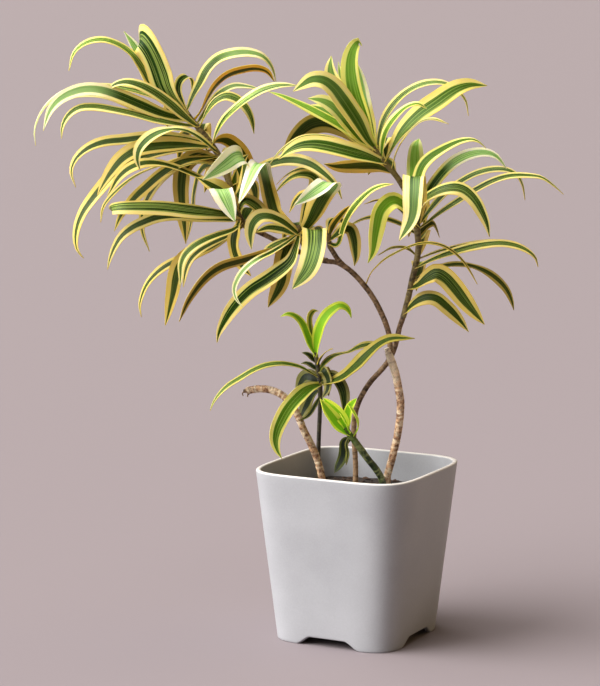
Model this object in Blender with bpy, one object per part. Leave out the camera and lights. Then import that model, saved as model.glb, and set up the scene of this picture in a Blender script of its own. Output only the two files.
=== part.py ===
"""Song of India in a tapered square planter.

Lengths are metres, +Z is up and the planter's sides run along X and Y.
Canes and leaves are set out in millimetres as (across, up, nearer): across and up on
the upright plane through the planter's axis, nearer along the line to the viewer.
"""
import math

import bmesh
import bpy
from mathutils import Matrix, Vector

MM = 0.001

# Planter
POT_HEIGHT = 0.180
POT_RIM_SIDE = 0.178
POT_BASE_SIDE = 0.140
POT_WALL = 0.0045
POT_FLOOR_UNDERSIDE = 0.014
POT_FLOOR_TOP = 0.018
CORNER_POWER = 5.0
OUTLINE_POINTS = 48
FOOT_ARCH_HALF_WIDTH = 0.037
FOOT_ARCH_FLAT_HALF = 0.019
FOOT_ARCH_HEIGHT = 0.009
FOOT_ARCH_STEPS = 8

# Soil
SOIL_TOP = 0.150
SOIL_CROWN = 0.0025
SEAT = 0.0003
STEM_DEPTH = 0.034

# Where the planter's axis stands, so that the whole plant's footprint is centred
POT_PLACE = Vector((0.060, 0.0179, 0.0))

# Viewer's place and the planter's turn against the plant's main plane
EYE = Vector((-0.060, -2.465, 0.663))
PLANT_TURN = math.radians(27.5)

# Leaves
BLADE_THICK = 0.0009
BLADE_BASE_WIDTH = 0.0045
BLADE_TIP_WIDTH = 0.0012
BLADE_SEGMENT = 0.019
BLADE_SEGMENTS_LEAST = 4
BLADE_SEGMENTS_MOST = 7
BEND_AS_LENGTH = 1.6

SHARP_ANGLE = math.radians(40)

# Canes
RING_SPACING = 0.0095
RING_SWELL = 1.07
STRAIGHT_END = 0.0016

FRONT_CANE = [(31, 166, -2), (36, 186, -1), (41, 208, 0), (44, 230, 1), (44.5, 246, 2),
              (42, 262, 3), (38.5, 278, 4), (34, 291, 4), (30.5, 301, 4)]
FRONT_BRANCH = [(34.5, 289, 2), (33.5, 302, -1), (32, 317, -2), (28, 330, -2), (23, 341.3, -1.5),
                (17.6, 351.7, -1), (11.8, 360.7, 0), (5.6, 368.8, 0), (-1, 376.3, 0), (-8, 383, 0),
                (-16, 389, 0)]
FORK_UP = [(-14, 387.5, 0), (-21, 395, 1), (-27.5, 405, 2)]
FORK_LEFT = [(-12, 386, 0), (-22, 391.5, -1), (-36, 393.5, -2), (-48, 399, -3), (-55, 407, -2),
             (-57, 411, -1)]
FORK_BACK = [(-32, 393.5, -1.5), (-52, 399, -15), (-76, 410, -26), (-98, 421, -28), (-111, 427, -25)]
REAR_CANE = [(-2, 164, -25), (-2, 180, -25), (-3, 197, -24), (-4, 215, -23), (-3, 230, -22),
             (0, 243, -21), (6, 256, -20), (14, 268, -18), (23, 278, -16), (31, 288, -14),
             (37, 300, -12), (40.5, 312, -10), (43, 324, -8), (46, 333, -7)]
STUB_CANE = [(-37, 164, -15), (-41, 182, -15), (-48, 200, -15), (-56, 216, -15), (-62, 231, -16),
             (-70, 245, -17), (-80, 254, -19), (-93, 259, -21), (-104, 259.5, -22), (-114, 258, -23)]
SHOOT_STEM = [(-41, 164, -32), (-41, 185, -32), (-40.5, 205, -32), (-39.5, 230, -32), (-39, 246, -31.5)]
SPROUT_STEM = [(26, 162, 8), (20, 174, 10), (12, 184, 12), (4, 195, 13), (-2.5, 204, 14)]
CANE_RADIUS = {"front_cane": 0.0038, "rear_cane": 0.0028, "stub_cane": 0.0038, "shoot_stem": 0.0024,
               "sprout_stem": 0.0036, "branch": 0.0029, "fork": 0.0026}

# Leafy stems, each from its cane to its growing point
LEFT_STEM = [(-119, 433, -21), (-126, 446, -16), (-130, 462, -14),
             (-134, 478, -14), (-139, 494, -16), (-147, 508, -18), (-158, 523, -20), (-169, 536, -22),
             (-178, 548, -22)]
MIDDLE_STEM = [(-60, 420, 2), (-61, 430, 4)]
FORK_STEM = [(-30, 414, 4), (-31, 425, 5)]
RIGHT_STEM = [(49.3, 345, -6), (53, 360, -5), (56, 375, -4), (60, 392, -4),
              (62, 408, -4), (61, 420, -2), (60, 435, 0)]
TOP_STEM = [(60.5, 424, -2), (57, 445, -12), (50, 462, -16), (42, 476, -14), (32, 489, -10),
            (22, 500, -8), (15, 511, -8)]
SHOOT_TOP_STEM = [(-39, 262, -30), (-41, 280, -30), (-44, 298, -30)]
SPROUT_TOP_STEM = [(-8, 211, 15), (-13, 219, 16)]

# Each leaf: greatest width, how far its face turns to the viewer at base, middle and tip
# (degrees), and the points it passes through from base to tip
LEFT_LEAVES = [
    (30, (70, 80, 70), [(-176, 545, -20), (-189, 558, -14), (-197, 571, -10), (-202, 586, -8),
        (-208, 601, -6), (-214.5, 613, -7), (-220.5, 620.5, -13), (-223, 619, -30), (-220, 610, -50),
        (-213, 594, -64)]),
    (14, (60, 65, 60), [(-178, 545, -26), (-197, 560, -28), (-211, 576, -30), (-219, 593, -32),
        (-227, 611, -34), (-239, 628, -36)]),
    (15, (70, 25, 25), [(-181, 548, -22), (-198, 558, -24), (-211, 573, -24), (-221, 590, -22),
        (-232, 605, -20), (-246, 615, -18), (-262, 619.5, -16), (-278, 616, -14), (-290, 606, -12),
        (-295.5, 588, -10)]),
    (16, (75, 60, 50), [(-172, 535, -18), (-200, 544, -6), (-225, 554, 2), (-248, 563.5, 6),
        (-265, 568.5, 10), (-281, 569, 12), (-296, 564.5, 14), (-307.5, 557, 16), (-316, 546, 16),
        (-322.5, 527, 16)]),
    (10, (50, 20, 20), [(-177, 545, -24), (-210, 562, -28), (-245, 571, -28), (-275, 573, -26),
        (-300, 567, -24), (-317, 555, -22), (-327, 541, -20), (-331.5, 527, -20), (-330.5, 512, -20)]),
    (14, (30, 32, 35), [(-165, 531, -12), (-190, 534, -2), (-210, 538, 4), (-230, 543.5, 9),
        (-250, 548, 13), (-270, 551, 15), (-285, 550, 17), (-296, 543, 18), (-302.5, 532, 18),
        (-304, 519, 18)]),
    (13, (40, 35, 40), [(-174, 540, -18), (-223, 546.1, -18), (-234.8, 553.3, -16), (-248.4, 559.8, -14),
        (-262.1, 563.3, -12), (-275.9, 564.1, -10), (-287.7, 562.3, -8), (-297.1, 558.2, -7)]),
    (13, (60, 65, 40), [(-165, 530, -14), (-180, 543, -6), (-195, 556, 0), (-209, 566, 4), (-223, 573, 6),
        (-238, 576.5, 6), (-250, 573.5, 4), (-258, 566, 2)]),
    (15, (62, 12, 72), [(-146, 504, -10), (-162, 519, 2), (-177, 527, 10), (-191, 528.5, 16),
        (-205, 525.5, 20), (-217, 518.5, 24), (-225.5, 508, 28), (-227, 497, 30), (-223.5, 486, 30)]),
    (15, (50, 45, 35), [(-152, 512, -20), (-180, 519, -26), (-212, 520.5, -30), (-240, 518, -30),
        (-262, 515.5, -28), (-278, 509, -26), (-290, 498, -24), (-294.5, 485, -22), (-290, 469, -20)]),
    (15, (20, 40, 40), [(-177, 547, -26), (-170, 560, -28), (-162, 575, -30), (-154, 590, -33),
        (-143, 600.5, -36), (-128, 605.5, -38), (-112, 606.5, -40), (-98, 602.5, -41), (-89, 592, -42),
        (-84.5, 577, -44)]),
    (9, (30, 30, 30), [(-181, 550, -26), (-185, 568, -38), (-182, 579, -50), (-175, 582.5, -60),
        (-170, 578, -68), (-170.5, 569, -76)]),
    (15, (-30, -45, -30), [(-168, 536, -26), (-160, 548, -36), (-153, 562, -44), (-145, 574, -50),
        (-133, 584, -55), (-118, 589, -59), (-104, 590.5, -62), (-93, 587, -64), (-86, 577, -66)]),
    (13, (40, 45, 50), [(-149, 513, -10), (-145, 525, -4), (-137, 539, 2), (-126, 550, 6), (-112, 561, 10),
        (-97, 569.5, 12), (-80, 573.5, 14), (-62, 573, 16)]),
    (11, (20, 35, 30), [(-164, 533, -28), (-157, 545, -30), (-149, 557, -31), (-139, 567, -32),
        (-127, 572.5, -32), (-113, 572, -32), (-98, 568, -32)]),
    (12, (10, 50, 40), [(-163, 531, -16), (-155, 545, -16), (-146, 557, -16), (-135, 562, -16),
        (-124, 558.5, -15), (-115, 549.5, -14), (-109.5, 538, -14), (-107, 524, -14)]),
    (16, (-40, -50, -40), [(-152, 510, -22), (-145, 517, -30), (-135, 517.5, -37), (-125, 511, -42),
        (-117, 501, -46), (-111, 489, -50), (-107, 478, -52)]),
    (18, (40, 62, 50), [(-152, 508, -18), (-180, 513, -10), (-208, 512, -4), (-228, 508, 0), (-243, 499, 2),
        (-254, 486, 4), (-262, 473, 4), (-268, 461, 4)]),
    (16, (30, 50, 45), [(-152, 506, -20), (-190, 507, -20), (-215, 502, -19), (-235, 494, -18),
        (-250, 484.5, -16), (-263, 470, -15), (-274, 456.5, -14), (-283, 443.5, -13), (-289, 429, -12),
        (-291, 414, -11), (-289, 404, -10), (-283, 396, -10)]),
    (15, (10, 25, 62), [(-131, 468, -10), (-150, 474, 2), (-170, 482, 10), (-190, 490, 15), (-207, 494, 18),
        (-222, 493.5, 21), (-236, 488, 23), (-247, 478, 25), (-254, 466, 26), (-258, 460, 26)]),
    (10, (30, 10, 60), [(-150, 504, -30), (-195, 494, -40), (-228, 481, -42), (-250, 464, -42),
        (-262, 449, -42), (-265, 433, -42)]),
    (13, (20, 60, 60), [(-145, 500, -14), (-180, 495, -6), (-200, 484, -2), (-218, 469, 0), (-232, 456, 2),
        (-243, 442, 3), (-251, 424, 4)]),
    (12, (20, 50, 50), [(-142, 498, -20), (-180, 492, -26), (-200, 479, -28), (-213, 463, -28),
        (-221, 445, -28), (-222, 425, -28), (-215, 403, -28)]),
    (20, (80, 85, 80), [(-142, 496, -14), (-165, 501, -24), (-178, 491, -30), (-181.5, 473, -33),
        (-181, 450, -34), (-179, 430, -34), (-177.5, 411, -34)]),
    (14, (40, 60, 60), [(-140, 494, -30), (-160, 488, -44), (-168, 465, -50), (-170, 445, -52),
        (-173, 427, -52), (-178, 411, -52)]),
    (7, (10, 10, 10), [(-138, 488, -6), (-160, 494, 4), (-180, 491, 10), (-196, 483, 14)]),
    (15, (60, 75, 60), [(-122, 437, -14), (-145, 441.5, 4), (-170, 444, 16), (-200, 447.5, 22),
        (-225, 448.3, 24), (-243, 448, 22), (-252, 447, 14), (-251.5, 445, -6), (-247, 441, -26)]),
    (14, (40, 50, 45), [(-120, 433, -20), (-155, 437, -18), (-188, 440, -14), (-207, 438, -12),
        (-221, 433, -10), (-233, 427, -9), (-244, 418, -8), (-251, 407, -7), (-255.5, 396, -6),
        (-258.5, 384, -6)]),
    (24, (0, 50, 70), [(-126, 452, -10), (-119, 470, -4), (-117.5, 495.3, 3), (-119.7, 501.7, 12),
        (-126.4, 501, 20), (-136.5, 493.4, 26), (-148.5, 484.7, 29), (-159.9, 476.7, 30)]),
    (12, (60, 60, 60), [(-125, 450, -10), (-127.7, 465.3, -14), (-126.5, 476.7, -16),
        (-124.9, 487.1, -18)]),
    (22, (70, 75, 80), [(-124, 436, -8), (-129, 450, 8), (-137, 463, 20), (-147, 470, 26), (-158, 476, 28),
        (-166, 479, 29)]),
    (12, (60, 60, 40), [(-128, 458, -14), (-124, 480, -22), (-120, 496, -30), (-113, 503, -38)]),
    (14, (30, 50, 60), [(-124, 440, -14), (-116, 456, -12), (-104, 450, -12), (-92, 434, -12)]),
    (17, (60, 75, 75), [(-120, 433, -14), (-126, 424, -8), (-128, 412, -4), (-126.5, 401, -2),
        (-121.5, 391, 0), (-116, 384, 1), (-110.5, 377.5, 2)]),
    (10, (15, 40, 50), [(-118, 429, -16), (-130, 424.5, -4), (-145, 419.5, 4), (-158, 414.5, 8),
        (-170, 407.5, 11), (-178.5, 399, 12), (-182.5, 389, 12), (-183, 378, 12), (-184, 366, 12)]),
    (10, (20, 30, 50), [(-117, 427, -20), (-135, 418, -16), (-150, 411, -14), (-163, 403.5, -12),
        (-172, 395, -11), (-177, 385, -10), (-179, 376, -10), (-180.5, 366, -10)]),
    (17, (40, 75, 80), [(-118, 427, -24), (-148, 412, -26), (-172, 401, -26), (-184, 390, -25),
        (-189, 376, -24), (-191.5, 362, -23), (-194.5, 348, -22), (-197, 336, -22), (-199.5, 326, -22)]),
    (13, (25, 42, 42), [(-119, 428, -28), (-150, 409, -40), (-180, 396.5, -42), (-198, 388, -42),
        (-210, 378.5, -42), (-218, 368.5, -42), (-223.5, 356, -42), (-225.5, 346, -42), (-224, 335, -42)]),
    (15, (30, 50, 50), [(-128, 470, -14), (-114, 481, -24), (-100, 489, -29), (-86, 494.5, -29),
        (-72, 497, -22), (-59, 496, -10), (-47, 491.5, 0), (-37, 484.5, 6), (-28, 476.5, 8), (-21, 467, 8),
        (-17, 457, 8)]),
    (16, (0, 0, 0), [(-176, 543, -26), (-186, 552, -60), (-192, 552, -100), (-196, 530, -132)]),
    (16, (0, 0, 0), [(-160, 524, -24), (-160, 533, -60), (-158, 531, -100), (-155, 505, -132)]),
    (16, (0, 0, 0), [(-150, 510, -22), (-165, 526, -65), (-178, 522, -105), (-185, 495, -132)]),
    (16, (0, 0, 0), [(-138, 492, -20), (-130, 508, -60), (-124, 506, -98), (-120, 480, -125)]),
    (16, (0, 0, 0), [(-132, 475, -18), (-140, 490, -65), (-150, 486, -98), (-158, 464, -125)]),
    (16, (0, 0, 0), [(-128, 460, -18), (-120, 475, -60), (-110, 473, -92), (-104, 448, -120)]),
    (24, (0, 0, 5), [(-124, 444, -8), (-133.4, 451.6, 4), (-139.1, 461.1, 16), (-141.7, 467.2, 28),
        (-139.1, 462.4, 38), (-133.8, 450.4, 43), (-126.8, 433.6, 46)]),
    (16, (0, 0, 0), [(-118, 435, -24), (-113, 447, -60), (-106, 446, -92), (-100, 435, -115)]),
]
MIDDLE_LEAVES = [
    (21, (0, 0, 25), [(-58, 420, 4), (-50.1, 434.8, 12), (-41.6, 451.9, 22), (-33, 465.3, 33),
        (-27.7, 472.5, 41), (-32.1, 473.8, 48), (-42.5, 467.6, 54), (-53.9, 459.2, 58),
        (-66.3, 450.4, 60)]),
    (11, (45, 50, 70), [(-57, 424, 0), (-46, 452, -10), (-41, 472, -13), (-46, 480.5, -14), (-57, 483, -14),
        (-68, 480, -14), (-77, 473, -14), (-85, 464, -14)]),
    (10, (35, 40, 50), [(-58, 424, -4), (-52, 455, -22), (-46, 475, -28), (-50, 485, -31), (-60, 487, -32),
        (-70, 484, -32), (-78, 478.5, -32), (-84, 472, -32)]),
    (9, (30, 30, 30), [(-59, 424, 4), (-50, 440, 6), (-46, 455, 8), (-50, 463.5, 10), (-58, 462, 12),
        (-65, 455, 13), (-71, 443, 14)]),
    (25, (0, 0, 0), [(-58, 416, 2), (-48, 424, 16), (-45, 424, 30), (-46, 405, 42), (-52, 386, 46),
        (-68, 364, 42)]),
    (16, (60, 50, 60), [(-59, 418, 6), (-68, 426.5, 14), (-79, 434.5, 22), (-91, 439.5, 28),
        (-102, 439, 33), (-109, 432, 36), (-111.5, 422, 37), (-111, 413, 37), (-110, 405, 37)]),
    (10, (20, 30, 30), [(-59, 416, 4), (-78, 413, 14), (-92, 406, 20), (-101, 393, 22)]),
    (14, (-30, -55, -60), [(-58, 413, 4), (-78, 406, 14), (-100, 399, 20), (-122, 392.5, 24),
        (-138, 388, 26), (-150, 381.5, 28), (-160, 372.5, 29), (-169, 361, 30), (-177, 348, 30),
        (-185, 330, 30)]),
    (19, (60, 80, 80), [(-60, 419, 2), (-72, 410, 9), (-78, 391, 12), (-80, 372, 14), (-93, 345, 14)]),
    (12, (50, 60, 60), [(-60, 420, 0), (-68, 406, -10), (-71, 387, -12), (-76, 368, -10), (-90, 350, -10)]),
    (17, (10, 62, 72), [(-60, 421, 4), (-64, 408, 17), (-70, 393, 24), (-84, 381, 27), (-98, 371.5, 29),
        (-110, 364, 31), (-121, 354, 33), (-131, 342, 34), (-139, 329, 35), (-144, 318, 36),
        (-146, 308, 36)]),
    (7, (20, 30, 50), [(-60, 422, 4), (-72, 413, 18), (-88, 403, 30), (-103, 395.5, 38), (-116, 386, 43),
        (-124, 375.5, 46), (-128, 364, 48), (-126, 354, 50), (-119, 345, 52)]),
    (13, (30, 40, 40), [(-59, 419, -2), (-78, 425, -2), (-93, 427, 0), (-105, 423, 4)]),
    (15, (0, 0, 0), [(-59, 424, 0), (-63, 431, -35), (-70, 431, -68), (-78, 415, -92)]),
    (15, (0, 0, 0), [(-57, 422, 0), (-49, 428, -35), (-42, 426, -68), (-36, 408, -92)]),
    (24, (-25, -5, 25), [(-60, 420, -2), (-76.5, 433.3, -8), (-87.1, 443.4, -13), (-91.7, 457.3, -15),
        (-95, 472.8, -13), (-97.6, 484.4, -6), (-100.9, 493.2, 6), (-106.1, 489, 20), (-112.8, 475.1, 32),
        (-118.6, 462, 38), (-122.9, 452.4, 42)]),
]
FORK_LEAVES = [
    (12, (50, 45, 40), [(-29.5, 411, 3), (-23, 409, 9), (-19.5, 412, 12), (-17, 420, 15), (-14, 430, 18),
        (-9.5, 440, 20), (-3, 450, 22), (5.5, 459.5, 24), (15, 467, 26), (25, 471, 28), (36, 472.5, 29)]),
    (8, (-30, -30, -30), [(-30, 418, 5), (-26, 430, 12), (-19.5, 439, 18), (-9, 450.5, 22)]),
    (13, (50, 70, 70), [(-29.5, 414, 4), (-22, 421, 9), (-15, 427, 12), (-8, 426, 13), (-4.5, 418, 13),
        (-3, 408, 12.5), (-2.5, 396, 12), (-4, 388, 12)]),
    (14, (0, 0, 0), [(-30, 420, 4), (-26, 434, -22), (-19, 437, -48), (-10, 425, -72)]),
]
RIGHT_LEAVES = [
    (23, (0, 0, 0), [(60, 430, 2), (60, 452, 16), (58, 474, 28), (57, 480, 36), (56, 460, 46),
        (54, 438, 46), (42, 414, 40)]),
    (19, (0, 0, 0), [(60, 433, 0), (59.5, 465, -8), (58.5, 492, -14), (59, 512, -24), (62, 519, -38)]),
    (15, (50, 50, 10), [(60, 434, 0), (60, 455, 2), (61, 475, 4), (66, 491, 6), (74, 500, 8), (83, 506, 8),
        (94, 512, 8), (105, 516.5, 8), (116, 518, 8), (124, 515, 8), (130.5, 509, 8)]),
    (13, (30, 60, 60), [(60, 432, -4), (68, 456, -10), (77, 472, -14), (86, 484, -16), (95, 493, -18),
        (105, 499.5, -18), (117, 504, -18), (130, 505, -18), (141, 501, -18), (152, 488, -18)]),
    (10, (20, 25, 60), [(61, 428, -4), (74, 446, -20), (90, 464, -32), (105, 475, -38), (120, 483, -41),
        (137, 487.5, -42), (152, 487, -42), (162, 482, -42), (168, 472, -42), (171, 456, -42)]),
    (13, (15, 25, 20), [(61, 424, 0), (85, 443, -2), (103, 455, -3), (120, 466, -4), (137, 475, -4),
        (155, 480.5, -4), (175, 481, -4), (188, 479, -4), (200, 471, -4), (210.5, 462, -4)]),
    (15, (20, 60, 60), [(60, 432, 4), (68, 455, 16), (78, 462.5, 21), (88, 466.5, 25), (99, 468, 27),
        (107, 466, 28), (114, 461, 29), (120.5, 453.5, 30), (127, 442, 30), (132, 430.5, 30),
        (135, 418, 30)]),
    (8, (60, 60, 60), [(61, 418, -4), (69, 429, -16), (76.5, 432, -22), (80.5, 426, -25),
        (83.5, 417.5, -27)]),
    (10, (20, 20, 20), [(60, 420, -6), (45, 430, -14), (30, 436, -18), (12, 438, -20), (-3, 433, -22),
        (-14, 424, -24)]),
    (9, (-20, -20, -20), [(60, 424, 2), (50, 438, 8), (38, 450, 8), (22, 456, 6), (6, 452, 2)]),
    (18, (40, 70, 70), [(60, 428, 4), (50, 446, 16), (36, 455.5, 24), (24, 446, 30), (18.5, 424, 32),
        (15, 402, 32), (10, 391, 30)]),
    (7, (15, 15, 15), [(60, 397, -4), (50, 406, -8), (36, 407, -10), (20, 399, -12)]),
    (13, (20, 35, 30), [(58, 384, 2), (76, 394, 8), (98, 402, 12), (125, 409, 14), (150, 411, 16),
        (170, 406, 16), (182, 397, 16), (185.5, 387, 16)]),
    (8, (15, 15, 15), [(60, 394, -6), (80, 402, -14), (110, 410, -18), (140, 414, -20), (163, 411, -20),
        (180, 401, -20)]),
    (14, (10, 15, 72), [(56, 369, -2), (70, 380, -6), (85, 386.5, -8), (100, 389, -8), (115, 388, -8),
        (130, 382.5, -8), (143, 374, -8), (153, 363, -8), (159, 350, -8), (161, 342, -8)]),
    (20, (30, 80, 80), [(56, 362, 2), (63, 369, 6), (72, 376, 10), (81, 380.5, 13), (90, 376, 15),
        (99, 366.5, 16.5), (108, 355, 17.5), (117, 343.5, 18), (125, 334, 18), (131, 327, 18)]),
    (15, (40, 75, 80), [(48, 338, -5), (55, 346, 0), (63, 352, 4), (72, 355, 7), (81, 353.5, 9),
        (90, 346.5, 10), (99, 338, 10), (107.5, 328.5, 10), (114.5, 319.5, 10)]),
    (16, (0, 0, 0), [(60, 432, -2), (63, 452, -38), (66, 452, -76), (68, 430, -104)]),
    (16, (0, 0, 0), [(60, 424, -4), (56, 440, -42), (53, 440, -78), (52, 418, -100)]),
    (16, (0, 0, 0), [(60, 414, -6), (66, 424, -42), (66, 420, -80), (62, 396, -108)]),
    (14, (0, 0, 0), [(58, 384, -6), (62, 392, -42), (63, 386, -75), (60, 362, -98)]),
]
TOP_LEAVES = [
    (19.5, (70, 70, 60), [(15, 511, -8), (8, 527, -4), (1, 545, 0), (-5, 563, 2), (-9, 582, 4),
        (-9.5, 598, 4), (-6.5, 610, 2), (-1, 617.5, -4), (3, 613, -14)]),
    (15, (60, 62, 60), [(16, 511, -12), (8.2, 542.4, -15), (4.9, 558.4, -17), (2.7, 571.5, -18),
        (0.7, 584.5, -18), (-1.4, 595.3, -17)]),
    (24, (65, 72, 55), [(14, 508, -4), (8, 520, 2), (0, 534, 7), (-9, 548, 11), (-18, 561, 14),
        (-27, 572, 17), (-37, 578.5, 20), (-48, 579, 22), (-58, 573.5, 23), (-67, 567, 23)]),
    (20, (60, 65, 65), [(13, 512, -14), (0, 535, -20), (-13, 555, -25), (-23, 570, -28), (-28.5, 583, -30),
        (-29.5, 594, -32), (-28, 603, -36)]),
    (10, (60, 60, 60), [(15, 512, -16), (5, 535, -22), (-5, 553, -28), (-13, 570, -33), (-18.5, 584, -37),
        (-21, 597, -40)]),
    (13, (40, 38, 30), [(17, 504, -8), (2, 517, -10), (-14, 528.5, -12), (-30, 538, -12), (-47, 547, -12),
        (-63, 555, -13), (-78, 562, -13), (-92, 567, -14)]),
    (20, (50, 60, 60), [(14, 507, -6), (3, 519, -4), (-8, 532, -2), (-17, 543, -1), (-27, 552.5, 0),
        (-38, 558, 1), (-52, 560, 2)]),
    (18, (45, 50, 50), [(15, 505, -12), (0, 520, -18), (-15, 534, -21), (-28, 543.5, -24), (-41, 550, -26),
        (-52, 553, -27)]),
    (23, (-50, -70, -65), [(17, 504, -14), (-1, 519.4, -24), (-17.1, 529.2, -30), (-33.5, 535.1, -35),
        (-48.6, 532.6, -38), (-62, 522, -39), (-72.2, 509.6, -40), (-79.7, 501.1, -40)]),
    (7.9, (30, 25, 20), [(20, 502, -10), (2, 509, -12), (-14, 515, -12), (-30, 520, -12), (-45, 522, -12),
        (-58, 520.5, -12), (-70, 514.5, -12), (-82, 504.5, -12), (-92, 492, -12)]),
    (19, (60, 65, 50), [(27, 494, -6), (11, 500.5, 2), (-4, 505, 6), (-19, 509, 8), (-34, 512.5, 8),
        (-48, 514, 7), (-60, 512.5, 6), (-71, 507.5, 4), (-82, 498, 1)]),
    (17, (-50, -62, -55), [(36, 484, -14), (18.8, 489.9, -19), (3.1, 490.5, -24), (-11.7, 489.9, -27),
        (-24.5, 490.3, -30), (-35.4, 493.2, -32)]),
    (14, (50, 40, 20), [(24, 498, -6), (24.5, 512, -2), (27.5, 525, 1), (33.5, 536, 3), (41.5, 545.5, 5),
        (51, 552.5, 7), (61, 554.5, 8), (69.5, 549.5, 8)]),
    (10, (20, 30, 50), [(20, 503, -12), (21, 522, -22), (26, 539, -30), (34, 552.5, -34), (45, 564, -37),
        (59, 572.5, -39), (74, 576.5, -41), (88, 575.5, -42), (100, 568.5, -43), (109, 557.5, -44),
        (112, 542, -44)]),
    (22, (0, 55, 82), [(28, 493, -10), (35, 509, -12), (43, 524, -14), (52, 535, -14), (61, 543.5, -14),
        (70, 550.5, -14), (80, 557.5, -14), (91, 565.5, -15), (102, 571.5, -15), (114, 574.5, -16),
        (131, 573, -16)]),
    (10, (20, 20, 15), [(35, 486, -8), (37, 499, -4), (42, 511.5, 2), (49, 522, 6), (57, 531.5, 9),
        (66, 537.5, 11), (77, 539, 13), (92, 534, 14)]),
    (16, (0, 0, 0), [(20, 503, -10), (24, 516, -48), (27, 518, -86), (27, 495, -116)]),
    (16, (0, 0, 0), [(26, 496, -12), (14, 510, -52), (3, 509, -90), (-4, 484, -116)]),
    (16, (0, 0, 0), [(36, 484, -14), (28, 496, -50), (18, 497, -88), (10, 482, -112)]),
]
SHOOT_LEAVES = [
    (14, (70, 60, 30), [(-44, 293, -30), (-43.5, 301, -29), (-42.6, 311, -28), (-40.6, 320, -27),
        (-37.5, 329, -26), (-33, 336.5, -25), (-27, 342.5, -24), (-19, 347, -23), (-12, 344.5, -22),
        (-8.5, 339, -21), (-7, 334, -20)]),
    (11, (60, 50, 30), [(-44, 293, -30), (-49, 305.5, -29), (-53, 316, -28), (-56.5, 325.3, -27),
        (-61, 332, -26), (-67, 336.6, -25), (-73, 338, -24), (-80, 335.5, -23)]),
    (10, (60, 60, 50), [(-44, 296, -32), (-46.5, 307, -36), (-49, 318.7, -40), (-50.5, 329, -44),
        (-50, 336, -46), (-47.5, 340, -48), (-44.5, 341.6, -50), (-41, 341, -52)]),
    (9, (15, 15, 15), [(-42, 284, -29), (-39, 290, -26), (-36.8, 294, -24), (-33.5, 297.8, -22),
        (-29.7, 300.4, -20), (-25.8, 302, -18)]),
    (7, (30, 30, 20), [(-43, 286, -30), (-47, 291.5, -33), (-50.4, 295, -35), (-54.2, 297, -36),
        (-58, 297.6, -37)]),
    (7, (20, 20, 20), [(-42, 278, -30), (-46.5, 282.7, -33), (-51, 285.8, -36), (-55, 287, -38),
        (-59, 286.2, -40)]),
    (9, (20, 28, 35), [(-41, 270, -29), (-50, 277, -27), (-58, 281.5, -25), (-68, 284.5, -23),
        (-81, 286, -20), (-96, 284, -18), (-110, 278.3, -16.5), (-122, 271, -16), (-134, 263.5, -15),
        (-143, 255, -14), (-149.5, 246, -13), (-153.5, 236.8, -12)]),
    (15, (50, 75, 75), [(-41, 266, -31), (-48.4, 272.5, -38), (-54, 273, -43), (-58, 269.5, -46),
        (-60.5, 264.5, -48), (-62.3, 259.5, -49), (-63.5, 254, -50)]),
    (15, (50, 75, 75), [(-40, 259, -31), (-47, 253.5, -37), (-51.5, 246, -41), (-55, 239, -43),
        (-58, 232, -43), (-60, 226, -43)]),
    (16, (50, 50, 52), [(-40, 264, -28), (-48, 262, -16), (-55.5, 257.8, -6), (-63.3, 250.6, 2),
        (-70, 243, 6), (-75.5, 235, 8), (-80, 226.5, 10), (-84, 217, 12), (-86, 206, 12), (-84, 195, 12),
        (-79, 186, 12)]),
    (5, (20, 20, 20), [(-39, 252, -28), (-45, 241, -16), (-52, 231, -6), (-61, 226, -2)]),
    (11, (40, 50, 50), [(-41, 276, -28), (-36, 279, -20), (-31, 270, -16), (-32, 258, -14),
        (-37, 250, -13)]),
    (12, (60, 0, 70), [(-41, 277, -29), (-36, 284.5, -26), (-30.5, 290, -24), (-24, 294, -22),
        (-16, 296.2, -20), (-9, 298.5, -18), (-2, 302.4, -16), (5, 305.3, -14), (12.5, 307, -13),
        (22, 309, -12)]),
    (17, (20, 60, 30), [(-39, 264, -28), (-25, 268.5, -12), (-14.7, 273.5, -4), (-8, 279, 2),
        (-0.5, 286, 8), (6, 292.8, 12), (12.5, 299.2, 15), (19, 304.8, 17), (25.5, 309.2, 19),
        (32, 312, 20), (39, 313.2, 21), (47, 313, 22), (59, 312.6, 22)]),
    (12, (60, 70, 60), [(-39, 266, -28), (-28, 274, -22), (-20, 268.5, -18), (-14.5, 258, -16),
        (-13.2, 247, -16), (-14, 233, -16)]),
    (14, (0, 0, 0), [(-40, 268, -31), (-38, 282, -60), (-34, 276, -85), (-30, 252, -100)]),
]
SPROUT_LEAVES = [
    (16, (60, 60, 50), [(-8, 211, 15), (-20, 222, 20), (-30, 235, 24), (-39, 249, 26)]),
    (13, (60, 60, 50), [(-10, 214, 16), (-16, 228, 16), (-26, 240, 16), (-36, 250, 14)]),
    (9, (60, 60, 50), [(-10, 216, 15), (-11, 230, 12), (-8, 241, 10), (-1, 250, 8)]),
    (10, (60, 60, 60), [(-6, 208, 14), (0, 220, 18), (-3, 233, 20), (-10, 243, 20)]),
    (13, (50, 50, 50), [(-9, 212, 18), (-13, 223, 28), (-19, 234, 34)]),
    (12, (70, 80, 80), [(-6, 208, 12), (-13, 203, 8), (-15, 188, 6), (-24, 171, 4)]),
    (7, (60, 70, 70), [(-8, 210, 15), (-11, 201, 13), (-10, 192, 12), (-12, 179, 11)]),
]
BRANCH_LEAF = (7, (10, 15, 20), [(8.8, 369.7, 1), (13, 380, 4), (19, 387, 7), (28, 395, 10), (40, 402, 13),
    (52, 407.5, 15), (64, 411, 17), (76, 411.5, 19), (88, 408.5, 21), (98, 402.5, 22), (107, 394, 22),
    (115, 383, 22), (123, 369, 22)])


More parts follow.
